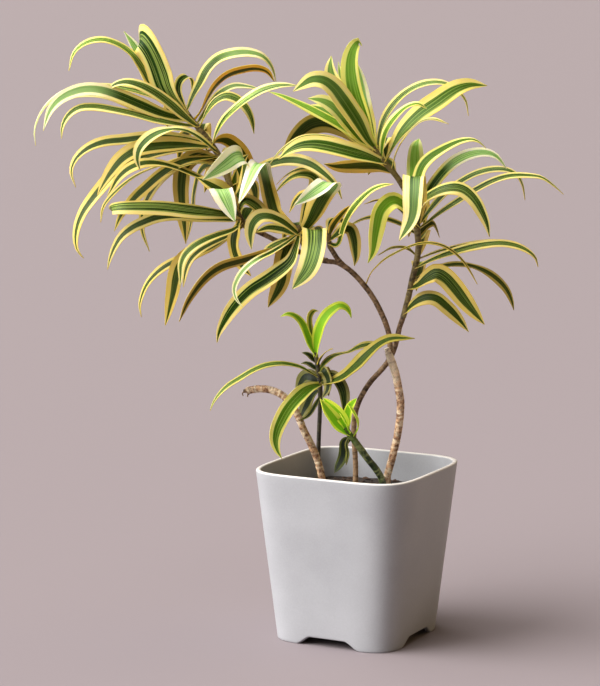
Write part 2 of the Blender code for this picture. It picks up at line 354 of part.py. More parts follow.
def seen(across, up, nearer):
    """Place in the row frame of a point given in the plant's own measures."""
    on_plane = Vector((across * MM, 0.0, up * MM))
    point = on_plane + (EYE - on_plane).normalized() * (nearer * MM)
    return Matrix.Rotation(PLANT_TURN, 3, "Z") @ point + POT_PLACE


def viewer():
    return Matrix.Rotation(PLANT_TURN, 3, "Z") @ EYE + POT_PLACE


def catmull(p0, p1, p2, p3, t):
    """Point between p1 and p2 on a smooth curve spaced by the root of the distance."""
    knots = [0.0]
    for a, b in ((p0, p1), (p1, p2), (p2, p3)):
        knots.append(knots[-1] + max((b - a).length, 1e-6) ** 0.5)
    t0, t1, t2, t3 = knots
    t = t1 + (t2 - t1) * t
    a1 = p0 * ((t1 - t) / (t1 - t0)) + p1 * ((t - t0) / (t1 - t0))
    a2 = p1 * ((t2 - t) / (t2 - t1)) + p2 * ((t - t1) / (t2 - t1))
    a3 = p2 * ((t3 - t) / (t3 - t2)) + p3 * ((t - t2) / (t3 - t2))
    b1 = a1 * ((t2 - t) / (t2 - t0)) + a2 * ((t - t0) / (t2 - t0))
    b2 = a2 * ((t3 - t) / (t3 - t1)) + a3 * ((t - t1) / (t3 - t1))
    return b1 * ((t2 - t) / (t2 - t1)) + b2 * ((t - t1) / (t2 - t1))


def smooth(points, steps=10):
    """Many points along the smooth curve through the given ones."""
    ends = [points[0] * 2 - points[1]] + list(points) + [points[-1] * 2 - points[-2]]
    curve = []
    for i in range(len(points) - 1):
        for k in range(steps):
            curve.append(catmull(ends[i], ends[i + 1], ends[i + 2], ends[i + 3], k / steps))
    curve.append(points[-1].copy())
    return curve


def along(curve, fractions):
    """Points at the given fractions of a curve's length."""
    run = [0.0]
    for a, b in zip(curve, curve[1:]):
        run.append(run[-1] + (b - a).length)
    placed = []
    i = 0
    for fraction in fractions:
        goal = fraction * run[-1]
        while i < len(curve) - 2 and run[i + 1] < goal:
            i += 1
        share = (goal - run[i]) / max(run[i + 1] - run[i], 1e-9)
        placed.append(curve[i].lerp(curve[i + 1], min(max(share, 0.0), 1.0)))
    return placed


def length_of(curve):
    return sum((b - a).length for a, b in zip(curve, curve[1:]))


def nearest_on(path, point):
    """Nearest place to a point on a stem's centre line, a little in from its ends."""
    best = None
    for place in along(path, [0.03 + 0.94 * k / 60 for k in range(61)]):
        if best is None or (place - point).length < (best - point).length:
            best = place
    return best


def between(values, t):
    low, middle, high = values
    if t < 0.5:
        return low + (middle - low) * t / 0.5
    return middle + (high - middle) * (t - 0.5) / 0.5


def blade_width(t, greatest):
    """Narrow clasping base, broadest before the middle, long taper to the tip."""
    rise = min(t / 0.34, 1.0)
    rise = 0.40 + 0.60 * rise * rise * (3 - 2 * rise)
    fall = 1.0 - max(0.0, (t - 0.42) / 0.58) ** 2.1
    return max(greatest * rise * fall, BLADE_TIP_WIDTH)


def blade_stations(curve):
    """Fractions of a leaf's length where its sections lie, closer where it bends."""
    length = length_of(curve)
    count = min(max(round(length / BLADE_SEGMENT), BLADE_SEGMENTS_LEAST), BLADE_SEGMENTS_MOST)
    steps = [b - a for a, b in zip(curve, curve[1:])]
    bends = [0.0] + [a.angle(b, 0.0) for a, b in zip(steps, steps[1:])]
    measure = [0.0]
    run = [0.0]
    for step, bend in zip(steps, bends):
        run.append(run[-1] + step.length / length)
        measure.append(measure[-1] + step.length / length + bend / BEND_AS_LENGTH)
    stations = [0.0]
    i = 0
    for k in range(1, count):
        goal = measure[-1] * k / count
        while measure[i + 1] < goal:
            i += 1
        share = (goal - measure[i]) / (measure[i + 1] - measure[i])
        stations.append(run[i] + (run[i + 1] - run[i]) * share)
    return stations + [1.0]


def leaf_frames(curve, points, faces, stations):
    """Centre, side and face directions along a leaf."""
    centres = along(curve, stations)
    heading = points[-1] - points[0]
    heading.z = 0.0
    if heading.length < 0.004:
        heading = viewer() - points[0]
        heading.z = 0.0
    heading.normalize()
    level_side = heading.cross(Vector((0.0, 0.0, 1.0)))
    middle = points[len(points) // 2]
    turn_way = 1.0 if level_side.dot(viewer() - middle) > 0 else -1.0
    frames = []
    last = len(centres) - 1
    for i, centre in enumerate(centres):
        tangent = (centres[min(i + 1, last)] - centres[max(i - 1, 0)]).normalized()
        side = (level_side - tangent * level_side.dot(tangent)).normalized()
        face = side.cross(tangent).normalized()
        turn = math.radians(between(faces, stations[i])) * turn_way
        turned_side = side * math.cos(turn) - face * math.sin(turn)
        turned_face = face * math.cos(turn) + side * math.sin(turn)
        frames.append((centre, turned_side, turned_face))
    return frames


def blade_object(name, leaf, stem_path, collection):
    """One leaf: a thin closed strip loftted over its stations, base sunk in the stem."""
    width, faces, marks = leaf
    points = [seen(*mark) for mark in marks]
    if stem_path:
        points[0] = nearest_on(stem_path, points[0])
    curve = smooth(points)
    stations = blade_stations(curve)
    frames = leaf_frames(curve, points, faces, stations)
    corners = []
    for (centre, side, face), t in zip(frames, stations):
        half = side * (blade_width(t, width * MM) / 2)
        if t == 0.0:
            half = side * (BLADE_BASE_WIDTH / 2)
        lift = face * (BLADE_THICK / 2)
        corners += [centre - half + lift, centre + half + lift, centre + half - lift, centre - half - lift]
    triangles = [(0, 1, 2), (0, 2, 3)]
    for i in range(len(frames) - 1):
        a, b = 4 * i, 4 * i + 4
        for k, flip in ((0, False), (1, False), (2, True), (3, False)):
            j = (k + 1) % 4
            if flip:
                triangles += [(a + k, b + k, b + j), (a + k, b + j, a + j)]
            else:
                triangles += [(a + k, b + k, a + j), (a + j, b + k, b + j)]
    end = 4 * (len(frames) - 1)
    triangles += [(end, end + 2, end + 1), (end, end + 3, end + 2)]
    mesh = bpy.data.meshes.new(name)
    mesh.from_pydata([tuple(c) for c in corners], [], triangles)
    shape = bmesh.new()
    shape.from_mesh(mesh)
    bmesh.ops.recalc_face_normals(shape, faces=shape.faces)
    shape.to_mesh(mesh)
    shape.free()
    leaf_object = bpy.data.objects.new(name, mesh)
    collection.objects.link(leaf_object)
    return leaf_object


def ringed(path, radius, taper=1.0, rings=True, plain=0.0):
    """Points and radii along a cane, swelling at each old leaf scar above its plain foot."""
    curve = smooth(path)
    length = length_of(curve)
    spacing = RING_SPACING / 2 if rings else RING_SPACING
    foot = plain / length
    count = max(2, round((length - plain) / spacing))
    fractions = [0.0] if foot else []
    fractions += [foot + (1.0 - foot) * k / count for k in range(count + 1)]
    radii = []
    for k, fraction in enumerate(fractions):
        swell = RING_SWELL if rings and k % 2 == 0 and k else 1.0
        radii.append(radius * swell * (1.0 + (taper - 1.0) * fraction))
    return along(curve, fractions), radii


def tube(name, points, radii, collection):
    """A round stem along a path, with filled ends."""
    curve = bpy.data.curves.new(name + "_path", "CURVE")
    curve.dimensions = "3D"
    curve.bevel_depth = 1.0
    curve.bevel_resolution = 2
    curve.use_fill_caps = True
    spline = curve.splines.new("POLY")
    spline.points.add(len(points) - 1)
    for point, place, radius in zip(spline.points, points, radii):
        point.co = (*place, 1.0)
        point.radius = radius
    path_object = bpy.data.objects.new(name + "_path", curve)
    collection.objects.link(path_object)
    bpy.context.view_layer.update()
    evaluated = path_object.evaluated_get(bpy.context.evaluated_depsgraph_get())
    mesh = bpy.data.meshes.new_from_object(evaluated)
    mesh.name = name
    shape = bmesh.new()
    shape.from_mesh(mesh)
    bmesh.ops.remove_doubles(shape, verts=shape.verts, dist=0.00001)
    bmesh.ops.recalc_face_normals(shape, faces=shape.faces)
    shape.to_mesh(mesh)
    shape.free()
    stem = bpy.data.objects.new(name, mesh)
    stem.matrix_world = path_object.matrix_world.copy()
    collection.objects.link(stem)
    bpy.data.objects.remove(path_object, do_unlink=True)
    return stem


def outline(half):
    """Rounded square of the planter, half a side wide, its points closest at the corners."""
    points = []
    for k in range(OUTLINE_POINTS):
        angle = 2 * math.pi * (k + 0.5) / OUTLINE_POINTS
        c, s = math.cos(angle), math.sin(angle)
        x = math.copysign(half * abs(c) ** (2 / CORNER_POWER), c)
        y = math.copysign(half * abs(s) ** (2 / CORNER_POWER), s)
        points.append((x, y))
    return points


def tower(name, rings, collection):
    """A closed body made by extruding the rounded square through rings of (half side, height)."""
    shape = bmesh.new()
    half, height = rings[0]
    start = [shape.verts.new((x, y, height)) for x, y in outline(half)]
    shape.faces.new(start)
    top = shape.faces[:][0]
    for half_next, height_next in rings[1:]:
        grown = bmesh.ops.extrude_face_region(shape, geom=[top])
        new_top = [g for g in grown["geom"] if isinstance(g, bmesh.types.BMFace)][0]
        if (half, height) != rings[0]:
            bmesh.ops.delete(shape, geom=[top], context="FACES_ONLY")
        factor = half_next / half
        for vert in new_top.verts:
            vert.co.x *= factor
            vert.co.y *= factor
            vert.co.z = height_next
        top = new_top
        half, height = half_next, height_next
    bmesh.ops.recalc_face_normals(shape, faces=shape.faces)
    mesh = bpy.data.meshes.new(name)
    shape.to_mesh(mesh)
    shape.free()
    body = bpy.data.objects.new(name, mesh)
    collection.objects.link(body)
    return body


def pot_half(height):
    return (POT_BASE_SIDE + (POT_RIM_SIDE - POT_BASE_SIDE) * height / POT_HEIGHT) / 2


def apply_modifiers(target):
    bpy.context.view_layer.update()
    evaluated = target.evaluated_get(bpy.context.evaluated_depsgraph_get())
    mesh = bpy.data.meshes.new_from_object(evaluated)
    mesh.name = target.name
    target.modifiers.clear()
    target.data = mesh


def cut(target, cutter):
    change = target.modifiers.new("cut", "BOOLEAN")
    change.operation = "DIFFERENCE"
    change.solver = "EXACT"
    change.object = cutter
    apply_modifiers(target)


def join_all(target, repeats):
    """One union of a body with every object of a collection, which is then emptied."""
    change = target.modifiers.new("join", "BOOLEAN")
    change.operation = "UNION"
    change.operand_type = "COLLECTION"
    change.collection = repeats
    change.solver = "MANIFOLD"
    apply_modifiers(target)
    for piece in list(repeats.objects):
        bpy.data.objects.remove(piece, do_unlink=True)


def keep_largest(target):
    """Drop loose scrap left by a union."""
    shape = bmesh.new()
    shape.from_mesh(target.data)
    left = set(shape.verts)
    groups = []
    while left:
        seed = left.pop()
        group = {seed}
        edge = [seed]
        while edge:
            vert = edge.pop()
            for link in vert.link_edges:
                other = link.other_vert(vert)
                if other in left:
                    left.remove(other)
                    group.add(other)
                    edge.append(other)
        groups.append(group)
    groups.sort(key=len, reverse=True)
    scrap = [vert for group in groups[1:] for vert in group]
    bmesh.ops.delete(shape, geom=scrap, context="VERTS")
    shape.to_mesh(target.data)
    shape.free()


def material(name, colour, roughness, metallic=0.0):
    made = bpy.data.materials.new(name)
    made.use_nodes = True
    shader = made.node_tree.nodes["Principled BSDF"]
    shader.inputs["Base Color"].default_value = (*colour, 1.0)
    shader.inputs["Roughness"].default_value = roughness
    shader.inputs["Metallic"].default_value = metallic
    made.diffuse_color = (*colour, 1.0)
    return made


def finish(target, surface):
    target.data.materials.clear()
    target.data.materials.append(surface)
    target.data.shade_smooth()
    target.data.set_sharp_from_angle(angle=SHARP_ANGLE)


def foot_arch(name, turn, cutters):
    """Cutter for the arched gaps under two opposite sides, flat on top with S-curved ends."""
    profile = [(-FOOT_ARCH_HALF_WIDTH, -0.005)]
    slope = FOOT_ARCH_HALF_WIDTH - FOOT_ARCH_FLAT_HALF
    for k in range(FOOT_ARCH_STEPS + 1):
        s = k / FOOT_ARCH_STEPS
        profile.append((-FOOT_ARCH_HALF_WIDTH + slope * s, FOOT_ARCH_HEIGHT * s * s * (3 - 2 * s)))
    profile += [(-x, z) for x, z in reversed(profile)]
    shape = bmesh.new()
    reach = POT_BASE_SIDE
    start = [shape.verts.new((x, -reach, z)) for x, z in profile]
    face = shape.faces.new(start)
    grown = bmesh.ops.extrude_face_region(shape, geom=[face])
    moved = [g for g in grown["geom"] if isinstance(g, bmesh.types.BMVert)]
    bmesh.ops.translate(shape, verts=moved, vec=(0, 2 * reach, 0))
    bmesh.ops.recalc_face_normals(shape, faces=shape.faces)
    mesh = bpy.data.meshes.new(name)
    shape.to_mesh(mesh)
    shape.free()
    cutter = bpy.data.objects.new(name, mesh)
    cutter.rotation_euler.z = turn
    cutter.location = POT_PLACE
    cutters.objects.link(cutter)
    return cutter


def planter(parts, cutters):
    under, top, wall = POT_FLOOR_UNDERSIDE, POT_HEIGHT, POT_WALL
    rings = [
        (pot_half(under) - wall - 0.0015, under),
        (pot_half(under - 0.0015) - wall, under - 0.0015),
        (pot_half(0.001) - wall, 0.001),
        (pot_half(0) - wall + 0.001, 0.0),
        (pot_half(0) - 0.001, 0.0),
        (pot_half(0.001), 0.001),
        (pot_half(top - 0.002), top - 0.002),
        (pot_half(top) - 0.0007, top - 0.0006),
        (pot_half(top) - 0.0020, top),
        (pot_half(top) - 0.0030, top),
        (pot_half(top) - wall + 0.0003, top - 0.0006),
        (pot_half(top - 0.002) - wall, top - 0.002),
        (pot_half(POT_FLOOR_TOP + 0.002) - wall, POT_FLOOR_TOP + 0.002),
        (pot_half(POT_FLOOR_TOP) - wall - 0.002, POT_FLOOR_TOP),
    ]
    pot = tower("pot", rings, parts)
    pot.location = POT_PLACE
    bpy.context.view_layer.update()
    cut(pot, foot_arch("arch_along_y", 0.0, cutters))
    cut(pot, foot_arch("arch_along_x", math.pi / 2, cutters))
    return pot


def stem_base(path):
    """Straight-down start of a stem in the soil, under its first point."""
    first = seen(*path[0])
    return [Vector((first.x, first.y, SOIL_TOP - STEM_DEPTH)), Vector((first.x, first.y, SOIL_TOP - 0.015)),
            Vector((first.x, first.y, SOIL_TOP + 0.005))]


def soil_bed(parts, cutters):
    inset = POT_WALL + SEAT + 0.0001
    low = POT_FLOOR_TOP + SEAT
    rings = [
        (pot_half(low) - inset - 0.0024, low),
        (pot_half(low + 0.0022) - inset, low + 0.0022),
        (pot_half(SOIL_TOP - 0.001) - inset, SOIL_TOP - 0.001),
        (pot_half(SOIL_TOP) - inset - 0.0015, SOIL_TOP),
        (0.060, SOIL_TOP + SOIL_CROWN * 0.6),
        (0.030, SOIL_TOP + SOIL_CROWN),
    ]
    soil = tower("soil", rings, parts)
    soil.location = POT_PLACE
    bpy.context.view_layer.update()
    for name, path in (("front_cane", FRONT_CANE), ("rear_cane", REAR_CANE), ("stub_cane", STUB_CANE),
                       ("shoot_stem", SHOOT_STEM), ("sprout_stem", SPROUT_STEM)):
        foot = stem_base(path)[0]
        radius = CANE_RADIUS[name] * RING_SWELL + SEAT
        shape = bmesh.new()
        bmesh.ops.create_cone(shape, cap_ends=True, segments=16, radius1=radius, radius2=radius, depth=0.060)
        mesh = bpy.data.meshes.new(name + "_hole")
        shape.to_mesh(mesh)
        shape.free()
        cutter = bpy.data.objects.new(name + "_hole", mesh)
        cutter.location = (foot.x, foot.y, foot.z - SEAT + 0.030)
        cutters.objects.link(cutter)
        bpy.context.view_layer.update()
        cut(soil, cutter)
    return soil


def cane_end(path):
    """Where a cane's short straight end begins, and which way it points."""
    curve = smooth([seen(*mark) for mark in path])
    return curve[-1], (curve[-1] - curve[-2]).normalized()


def with_straight_end(places, radii, path):
    end, way = cane_end(path)
    return places + [end + way * STRAIGHT_END], radii + [radii[-1]]


def planted_cane(name, path, parts, taper=1.0, rings=True):
    points = stem_base(path) + [seen(*mark) for mark in path]
    places, radii = ringed(points, CANE_RADIUS[name], taper, rings, STEM_DEPTH)
    places, radii = with_straight_end(places, radii, path)
    return tube(name, places, radii, parts)


def add_branch(name, path, radius, taper, repeats):
    places, radii = ringed([seen(*mark) for mark in path], radius, taper, False)
    places, radii = with_straight_end(places, radii, path)
    return tube(name, places, radii, repeats)


def carried_on(stem_path, cane_path):
    """A leafy stem's points, starting square to the end of its cane and just clear of it."""
    end, way = cane_end(cane_path)
    start = end + way * (STRAIGHT_END + SEAT)
    return [start, start + way * STRAIGHT_END] + [seen(*mark) for mark in stem_path]


def stem_tube(name, points, radius, taper, collection):
    """A leafy stem whose first piece is straight, so that it sits square on its cane."""
    places, radii = ringed(points[1:], radius, taper, False)
    return tube(name, points[:1] + places, radii[:1] + radii, collection)


def leafy(name, cane_path, stem_path, radius, taper, leaves, parts, repeats, side_path=None, side_leaves=()):
    """A leafy stem: its stem, any side stem and all their leaves in one body."""
    points = carried_on(stem_path, cane_path)
    path = smooth(points)
    body = stem_tube(name, points, radius, taper, parts)
    for k, leaf in enumerate(leaves):
        blade_object(f"{name}_leaf_{k}", leaf, path, repeats)
    if side_path:
        side = smooth([seen(*mark) for mark in side_path])
        places, radii = ringed([seen(*mark) for mark in side_path], radius * taper, 0.85, False)
        tube(name + "_side", places, radii, repeats)
        for k, leaf in enumerate(side_leaves):
            blade_object(f"{name}_side_leaf_{k}", leaf, side, repeats)
    join_all(body, repeats)
    keep_largest(body)
    return body


def build():
    for old in list(bpy.data.objects):
        bpy.data.objects.remove(old, do_unlink=True)
    parts = bpy.data.collections.new("potted_song_of_india")
    cutters = bpy.data.collections.new("cutters")
    repeats = bpy.data.collections.new("repeats")
    for group in (parts, cutters, repeats):
        bpy.context.scene.collection.children.link(group)

    glaze = material("pot_grey", (0.53, 0.52, 0.50), 0.45)
    earth = material("soil_dark", (0.030, 0.021, 0.015), 0.95)
    old_wood = material("cane_tan", (0.38, 0.26, 0.17), 0.75)
    bark = material("cane_brown", (0.16, 0.085, 0.055), 0.70)
    young_stem = material("stem_dark", (0.035, 0.032, 0.020), 0.60)
    blade = material("leaf_green_cream", (0.36, 0.46, 0.12), 0.42)
    young_blade = material("leaf_lime", (0.33, 0.50, 0.06), 0.42)

    pot = planter(parts, cutters)
    finish(pot, glaze)
    soil = soil_bed(parts, cutters)
    finish(soil, earth)

    front = planted_cane("front_cane", FRONT_CANE, parts, 1.12)
    add_branch("branch", FRONT_BRANCH, CANE_RADIUS["branch"], 0.95, repeats)
    add_branch("fork_up", FORK_UP, CANE_RADIUS["fork"], 1.0, repeats)
    add_branch("fork_left", FORK_LEFT, CANE_RADIUS["fork"], 1.0, repeats)
    add_branch("fork_back", FORK_BACK, CANE_RADIUS["fork"], 1.0, repeats)
    join_all(front, repeats)
    keep_largest(front)
    finish(front, old_wood)

    finish(planted_cane("rear_cane", REAR_CANE, parts, 1.0, False), bark)
    finish(planted_cane("stub_cane", STUB_CANE, parts, 1.0), old_wood)
    finish(planted_cane("shoot_stem", SHOOT_STEM, parts, 0.95, False), young_stem)
    finish(planted_cane("sprout_stem", SPROUT_STEM, parts, 1.0, False), young_stem)

    finish(leafy("left_crown", FORK_BACK, LEFT_STEM, 0.0036, 0.8, LEFT_LEAVES, parts, repeats), blade)
    finish(leafy("middle_crown", FORK_LEFT, MIDDLE_STEM, 0.0032, 0.9, MIDDLE_LEAVES, parts, repeats), blade)
    finish(leafy("fork_crown", FORK_UP, FORK_STEM, 0.0026, 0.9, FORK_LEAVES, parts, repeats), blade)
    finish(leafy("right_crown", REAR_CANE, RIGHT_STEM, 0.0030, 1.1, RIGHT_LEAVES, parts, repeats,
                 TOP_STEM, TOP_LEAVES), blade)
    finish(leafy("shoot_leaves", SHOOT_STEM, SHOOT_TOP_STEM, 0.0026, 0.9, SHOOT_LEAVES, parts, repeats),
           young_blade)
    finish(leafy("sprout_leaves", SPROUT_STEM, SPROUT_TOP_STEM, 0.0034, 0.9, SPROUT_LEAVES, parts, repeats),
           young_blade)
    finish(blade_object("branch_leaf", BRANCH_LEAF, None, parts), blade)

    bpy.data.collections.remove(repeats)
    for cutter in cutters.objects:
        cutter.hide_render = True
        cutter.display_type = "WIRE"


build()
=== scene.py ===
"""Song of India in a tapered square planter, dressed for the eye.

Lengths are metres, +Z is up and the planter's sides run along X and Y.
Canes and leaves are set out in millimetres as (across, up, nearer): across and up on
the upright plane through the planter's axis, nearer along the line to the viewer.
"""
import math
import random

import bpy
from mathutils import Matrix, Vector, noise


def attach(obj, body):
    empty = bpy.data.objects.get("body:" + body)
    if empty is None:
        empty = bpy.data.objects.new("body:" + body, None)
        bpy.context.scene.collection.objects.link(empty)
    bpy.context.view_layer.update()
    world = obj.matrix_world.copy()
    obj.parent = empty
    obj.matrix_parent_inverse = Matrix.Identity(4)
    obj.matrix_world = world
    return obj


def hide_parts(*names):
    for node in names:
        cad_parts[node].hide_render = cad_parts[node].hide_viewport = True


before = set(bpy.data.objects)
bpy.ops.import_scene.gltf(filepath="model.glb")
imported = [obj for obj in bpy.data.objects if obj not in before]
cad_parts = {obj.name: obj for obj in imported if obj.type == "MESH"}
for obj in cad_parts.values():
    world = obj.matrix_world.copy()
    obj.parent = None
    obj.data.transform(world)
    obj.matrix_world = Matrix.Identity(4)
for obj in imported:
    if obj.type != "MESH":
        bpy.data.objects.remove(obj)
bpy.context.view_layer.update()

MM = 0.001

# Planter
POT_HEIGHT = 0.180
POT_RIM_SIDE = 0.178
POT_BASE_SIDE = 0.140
POT_WALL = 0.0045
POT_FLOOR_UNDERSIDE = 0.014
POT_FLOOR_TOP = 0.018
CORNER_POWER = 5.0
OUTLINE_POINTS = 256
WALL_ROWS = 40
FOOT_ARCH_HALF_WIDTH = 0.037
FOOT_ARCH_FLAT_HALF = 0.019
FOOT_ARCH_HEIGHT = 0.009
ARCH_FADE = 0.030
FOOT_ROUND = 0.0012
RIM_ROUND = 0.0018
UNDERSIDE_ROUND = 0.0015
FLOOR_ROUND = 0.002
FOOT_INSIDE_HEIGHT = 0.0040
FOOT_INSIDE_LIFT = 0.62
ROWS_CROWD_DOWN = 1.15
CAST_UNEVEN = 0.00012
CAST_WAVES = 22

# Soil
SOIL_TOP = 0.150
SOIL_CROWN = 0.0025
SOIL_HALF = 0.078
SOIL_SINK = 0.0008
SOIL_EDGE_DROP = 0.002
SOIL_GAP_BELOW = 0.0002
SOIL_GAP_AT_TOP = 0.0008
LUMP_HEIGHT = 0.0011
GRAIN_HEIGHT = 0.0005
LUMPS_PER_METRE = 95
GRAINS_PER_METRE = 420
SOIL_POINTS = 128
SOIL_RINGS = 40
SEAT = 0.0003
STEM_DEPTH = 0.034
UPRIGHT_FROM = 0.015
UPRIGHT_TO = 0.005
CRUMBS = 320
CRUMB_SIZES = (0.0009, 0.0011, 0.0014, 0.0018, 0.0026)
CRUMB_HALF = 0.077
CRUMB_FIELD = 0.0775
CRUMB_ROUGHNESS = 0.45
CRUMB_STRETCH = ((0.8, 2.2), (0.6, 1.2), (0.35, 0.8))

# Where the planter's axis stands, so that the whole plant's footprint is centred
POT_PLACE = Vector((0.060, 0.0179, 0.0))

# Viewer's place and the planter's turn against the plant's main plane
EYE = Vector((-0.060, -2.465, 0.663))
PLANT_TURN = math.radians(27.5)
LOOK_DOWN = math.radians(8.2)
LENS = 126.2
SENSOR = 36.0
NEAREST_SEEN = 0.05

# Leaves
BLADE_THICK = 0.0005
BLADE_TIP_WIDTH = 0.0006
BASE_SHARE = 0.40
BROADEST_FROM = 0.34
BROADEST_TO = 0.42
TIP_FULLNESS = 3.2
BLADE_COLUMNS = 8
BLADE_ROWS = 34
CHANNEL_BASE = 0.34
CHANNEL_TIP = 0.07
CLASP_LENGTH = 0.09
CLASP_NARROWING = 0.25
CLASP_CUP = 0.55
MARGIN_WAVE = 0.05
CROWN_RINGS = 0.0036
CROWN_RIDGE = 0.00011

# Canes
STRAIGHT_END = 0.0016
SIDES = 22
ROW_STEP = 0.0008
END_SHARE = 0.93
NECK_LENGTH = 0.012
RING_TILT = 0.0008
RING_REACH = 0.004
RING_WIDTH = 0.00055
RING_STAIN_WIDTH = 0.0009
GROOVE_WIDTH = 0.0007
GROOVE_BEYOND = 0.0013
# Lumps of 6 mm and of 1.6 mm: how many to the metre, and their height as a share of the radius
CANE_LUMPS = ((160, 0.05), (620, 0.035))

# Streaks on a blade of 16 by 150 mm: how many across and along it, how far each leaf's own
# pattern is moved, and the noise detail. They are 1.8, 0.5, 0.2 and 1.1 mm wide.
BROAD_STREAKS = (9.0, 1.1, 37.0, 2.0)
FINE_STREAKS = (34.0, 1.8, 91.0, 2.0)
VEINS = (70.0, 2.2, 53.0, 1.0)
HAIR_LINES = (15.0, 0.4, 29.0, 1.0)

# Patterns by how many to the metre: cork patches 8 mm, mottling 5 mm, pores 2.4 mm and grain
# 1.1 mm; glaze clouds 60 mm and tooth 1.6 mm; soil clods 4 mm and grit 0.7 mm
CORK_PATCHES, CORK_MOTTLING, CORK_PORES, CORK_GRAIN = 120.0, 210.0, 420.0, 900.0
GLAZE_CLOUDS, GLAZE_TOOTH = 16.0, 620.0
SOIL_CLODS, SOIL_GRIT = 260.0, 1500.0

# Canes, each from the mix or its fork to its end
FRONT_CANE = [(31, 166, -2), (36, 186, -1), (41, 208, 0), (44, 230, 1), (44.5, 246, 2),
              (42, 262, 3), (38.5, 278, 4), (34, 291, 4), (30.5, 301, 4)]
FRONT_BRANCH = [(34.5, 289, 2), (33.5, 302, -1), (32, 317, -2), (28, 330, -2), (23, 341.3, -1.5),
                (17.6, 351.7, -1), (11.8, 360.7, 0), (5.6, 368.8, 0), (-1, 376.3, 0), (-8, 383, 0),
                (-16, 389, 0)]
FORK_UP = [(-14, 387.5, 0), (-21, 395, 1), (-27.5, 405, 2)]
FORK_LEFT = [(-12, 386, 0), (-22, 391.5, -1), (-36, 393.5, -2), (-48, 399, -3), (-55, 407, -2),
             (-57, 411, -1)]
FORK_BACK = [(-32, 393.5, -1.5), (-52, 399, -15), (-76, 410, -26), (-98, 421, -28), (-111, 427, -25)]
REAR_CANE = [(-2, 164, -25), (-2, 180, -25), (-3, 197, -24), (-4, 215, -23), (-3, 230, -22),
             (0, 243, -21), (6, 256, -20), (14, 268, -18), (23, 278, -16), (31, 288, -14),
             (37, 300, -12), (40.5, 312, -10), (43, 324, -8), (46, 333, -7)]
STUB_CANE = [(-37, 164, -15), (-41, 182, -15), (-48, 200, -15), (-56, 216, -15), (-62, 231, -16),
             (-70, 245, -17), (-80, 254, -19), (-93, 259, -21), (-104, 259.5, -22), (-114, 258, -23)]
SHOOT_STEM = [(-41, 164, -32), (-41, 185, -32), (-40.5, 205, -32), (-39.5, 230, -32), (-39, 246, -31.5)]
SPROUT_STEM = [(26, 162, 8), (20, 174, 10), (12, 184, 12), (4, 195, 13), (-2.5, 204, 14)]
CANE_RADIUS = {"front_cane": 0.0038, "rear_cane": 0.0028, "stub_cane": 0.0038, "shoot_stem": 0.0024,
               "sprout_stem": 0.0036, "branch": 0.0029, "fork": 0.0026}

# Leafy stems, each from its cane to its growing point
LEFT_STEM = [(-119, 433, -21), (-126, 446, -16), (-130, 462, -14),
             (-134, 478, -14), (-139, 494, -16), (-147, 508, -18), (-158, 523, -20), (-169, 536, -22),
             (-178, 548, -22)]
MIDDLE_STEM = [(-60, 420, 2), (-61, 430, 4)]
FORK_STEM = [(-30, 414, 4), (-31, 425, 5)]
RIGHT_STEM = [(49.3, 345, -6), (53, 360, -5), (56, 375, -4), (60, 392, -4),
              (62, 408, -4), (61, 420, -2), (60, 435, 0)]
TOP_STEM = [(60.5, 424, -2), (57, 445, -12), (50, 462, -16), (42, 476, -14), (32, 489, -10),
            (22, 500, -8), (15, 511, -8)]
SHOOT_TOP_STEM = [(-39, 262, -30), (-41, 280, -30), (-44, 298, -30)]
SPROUT_TOP_STEM = [(-8, 211, 15), (-13, 219, 16)]

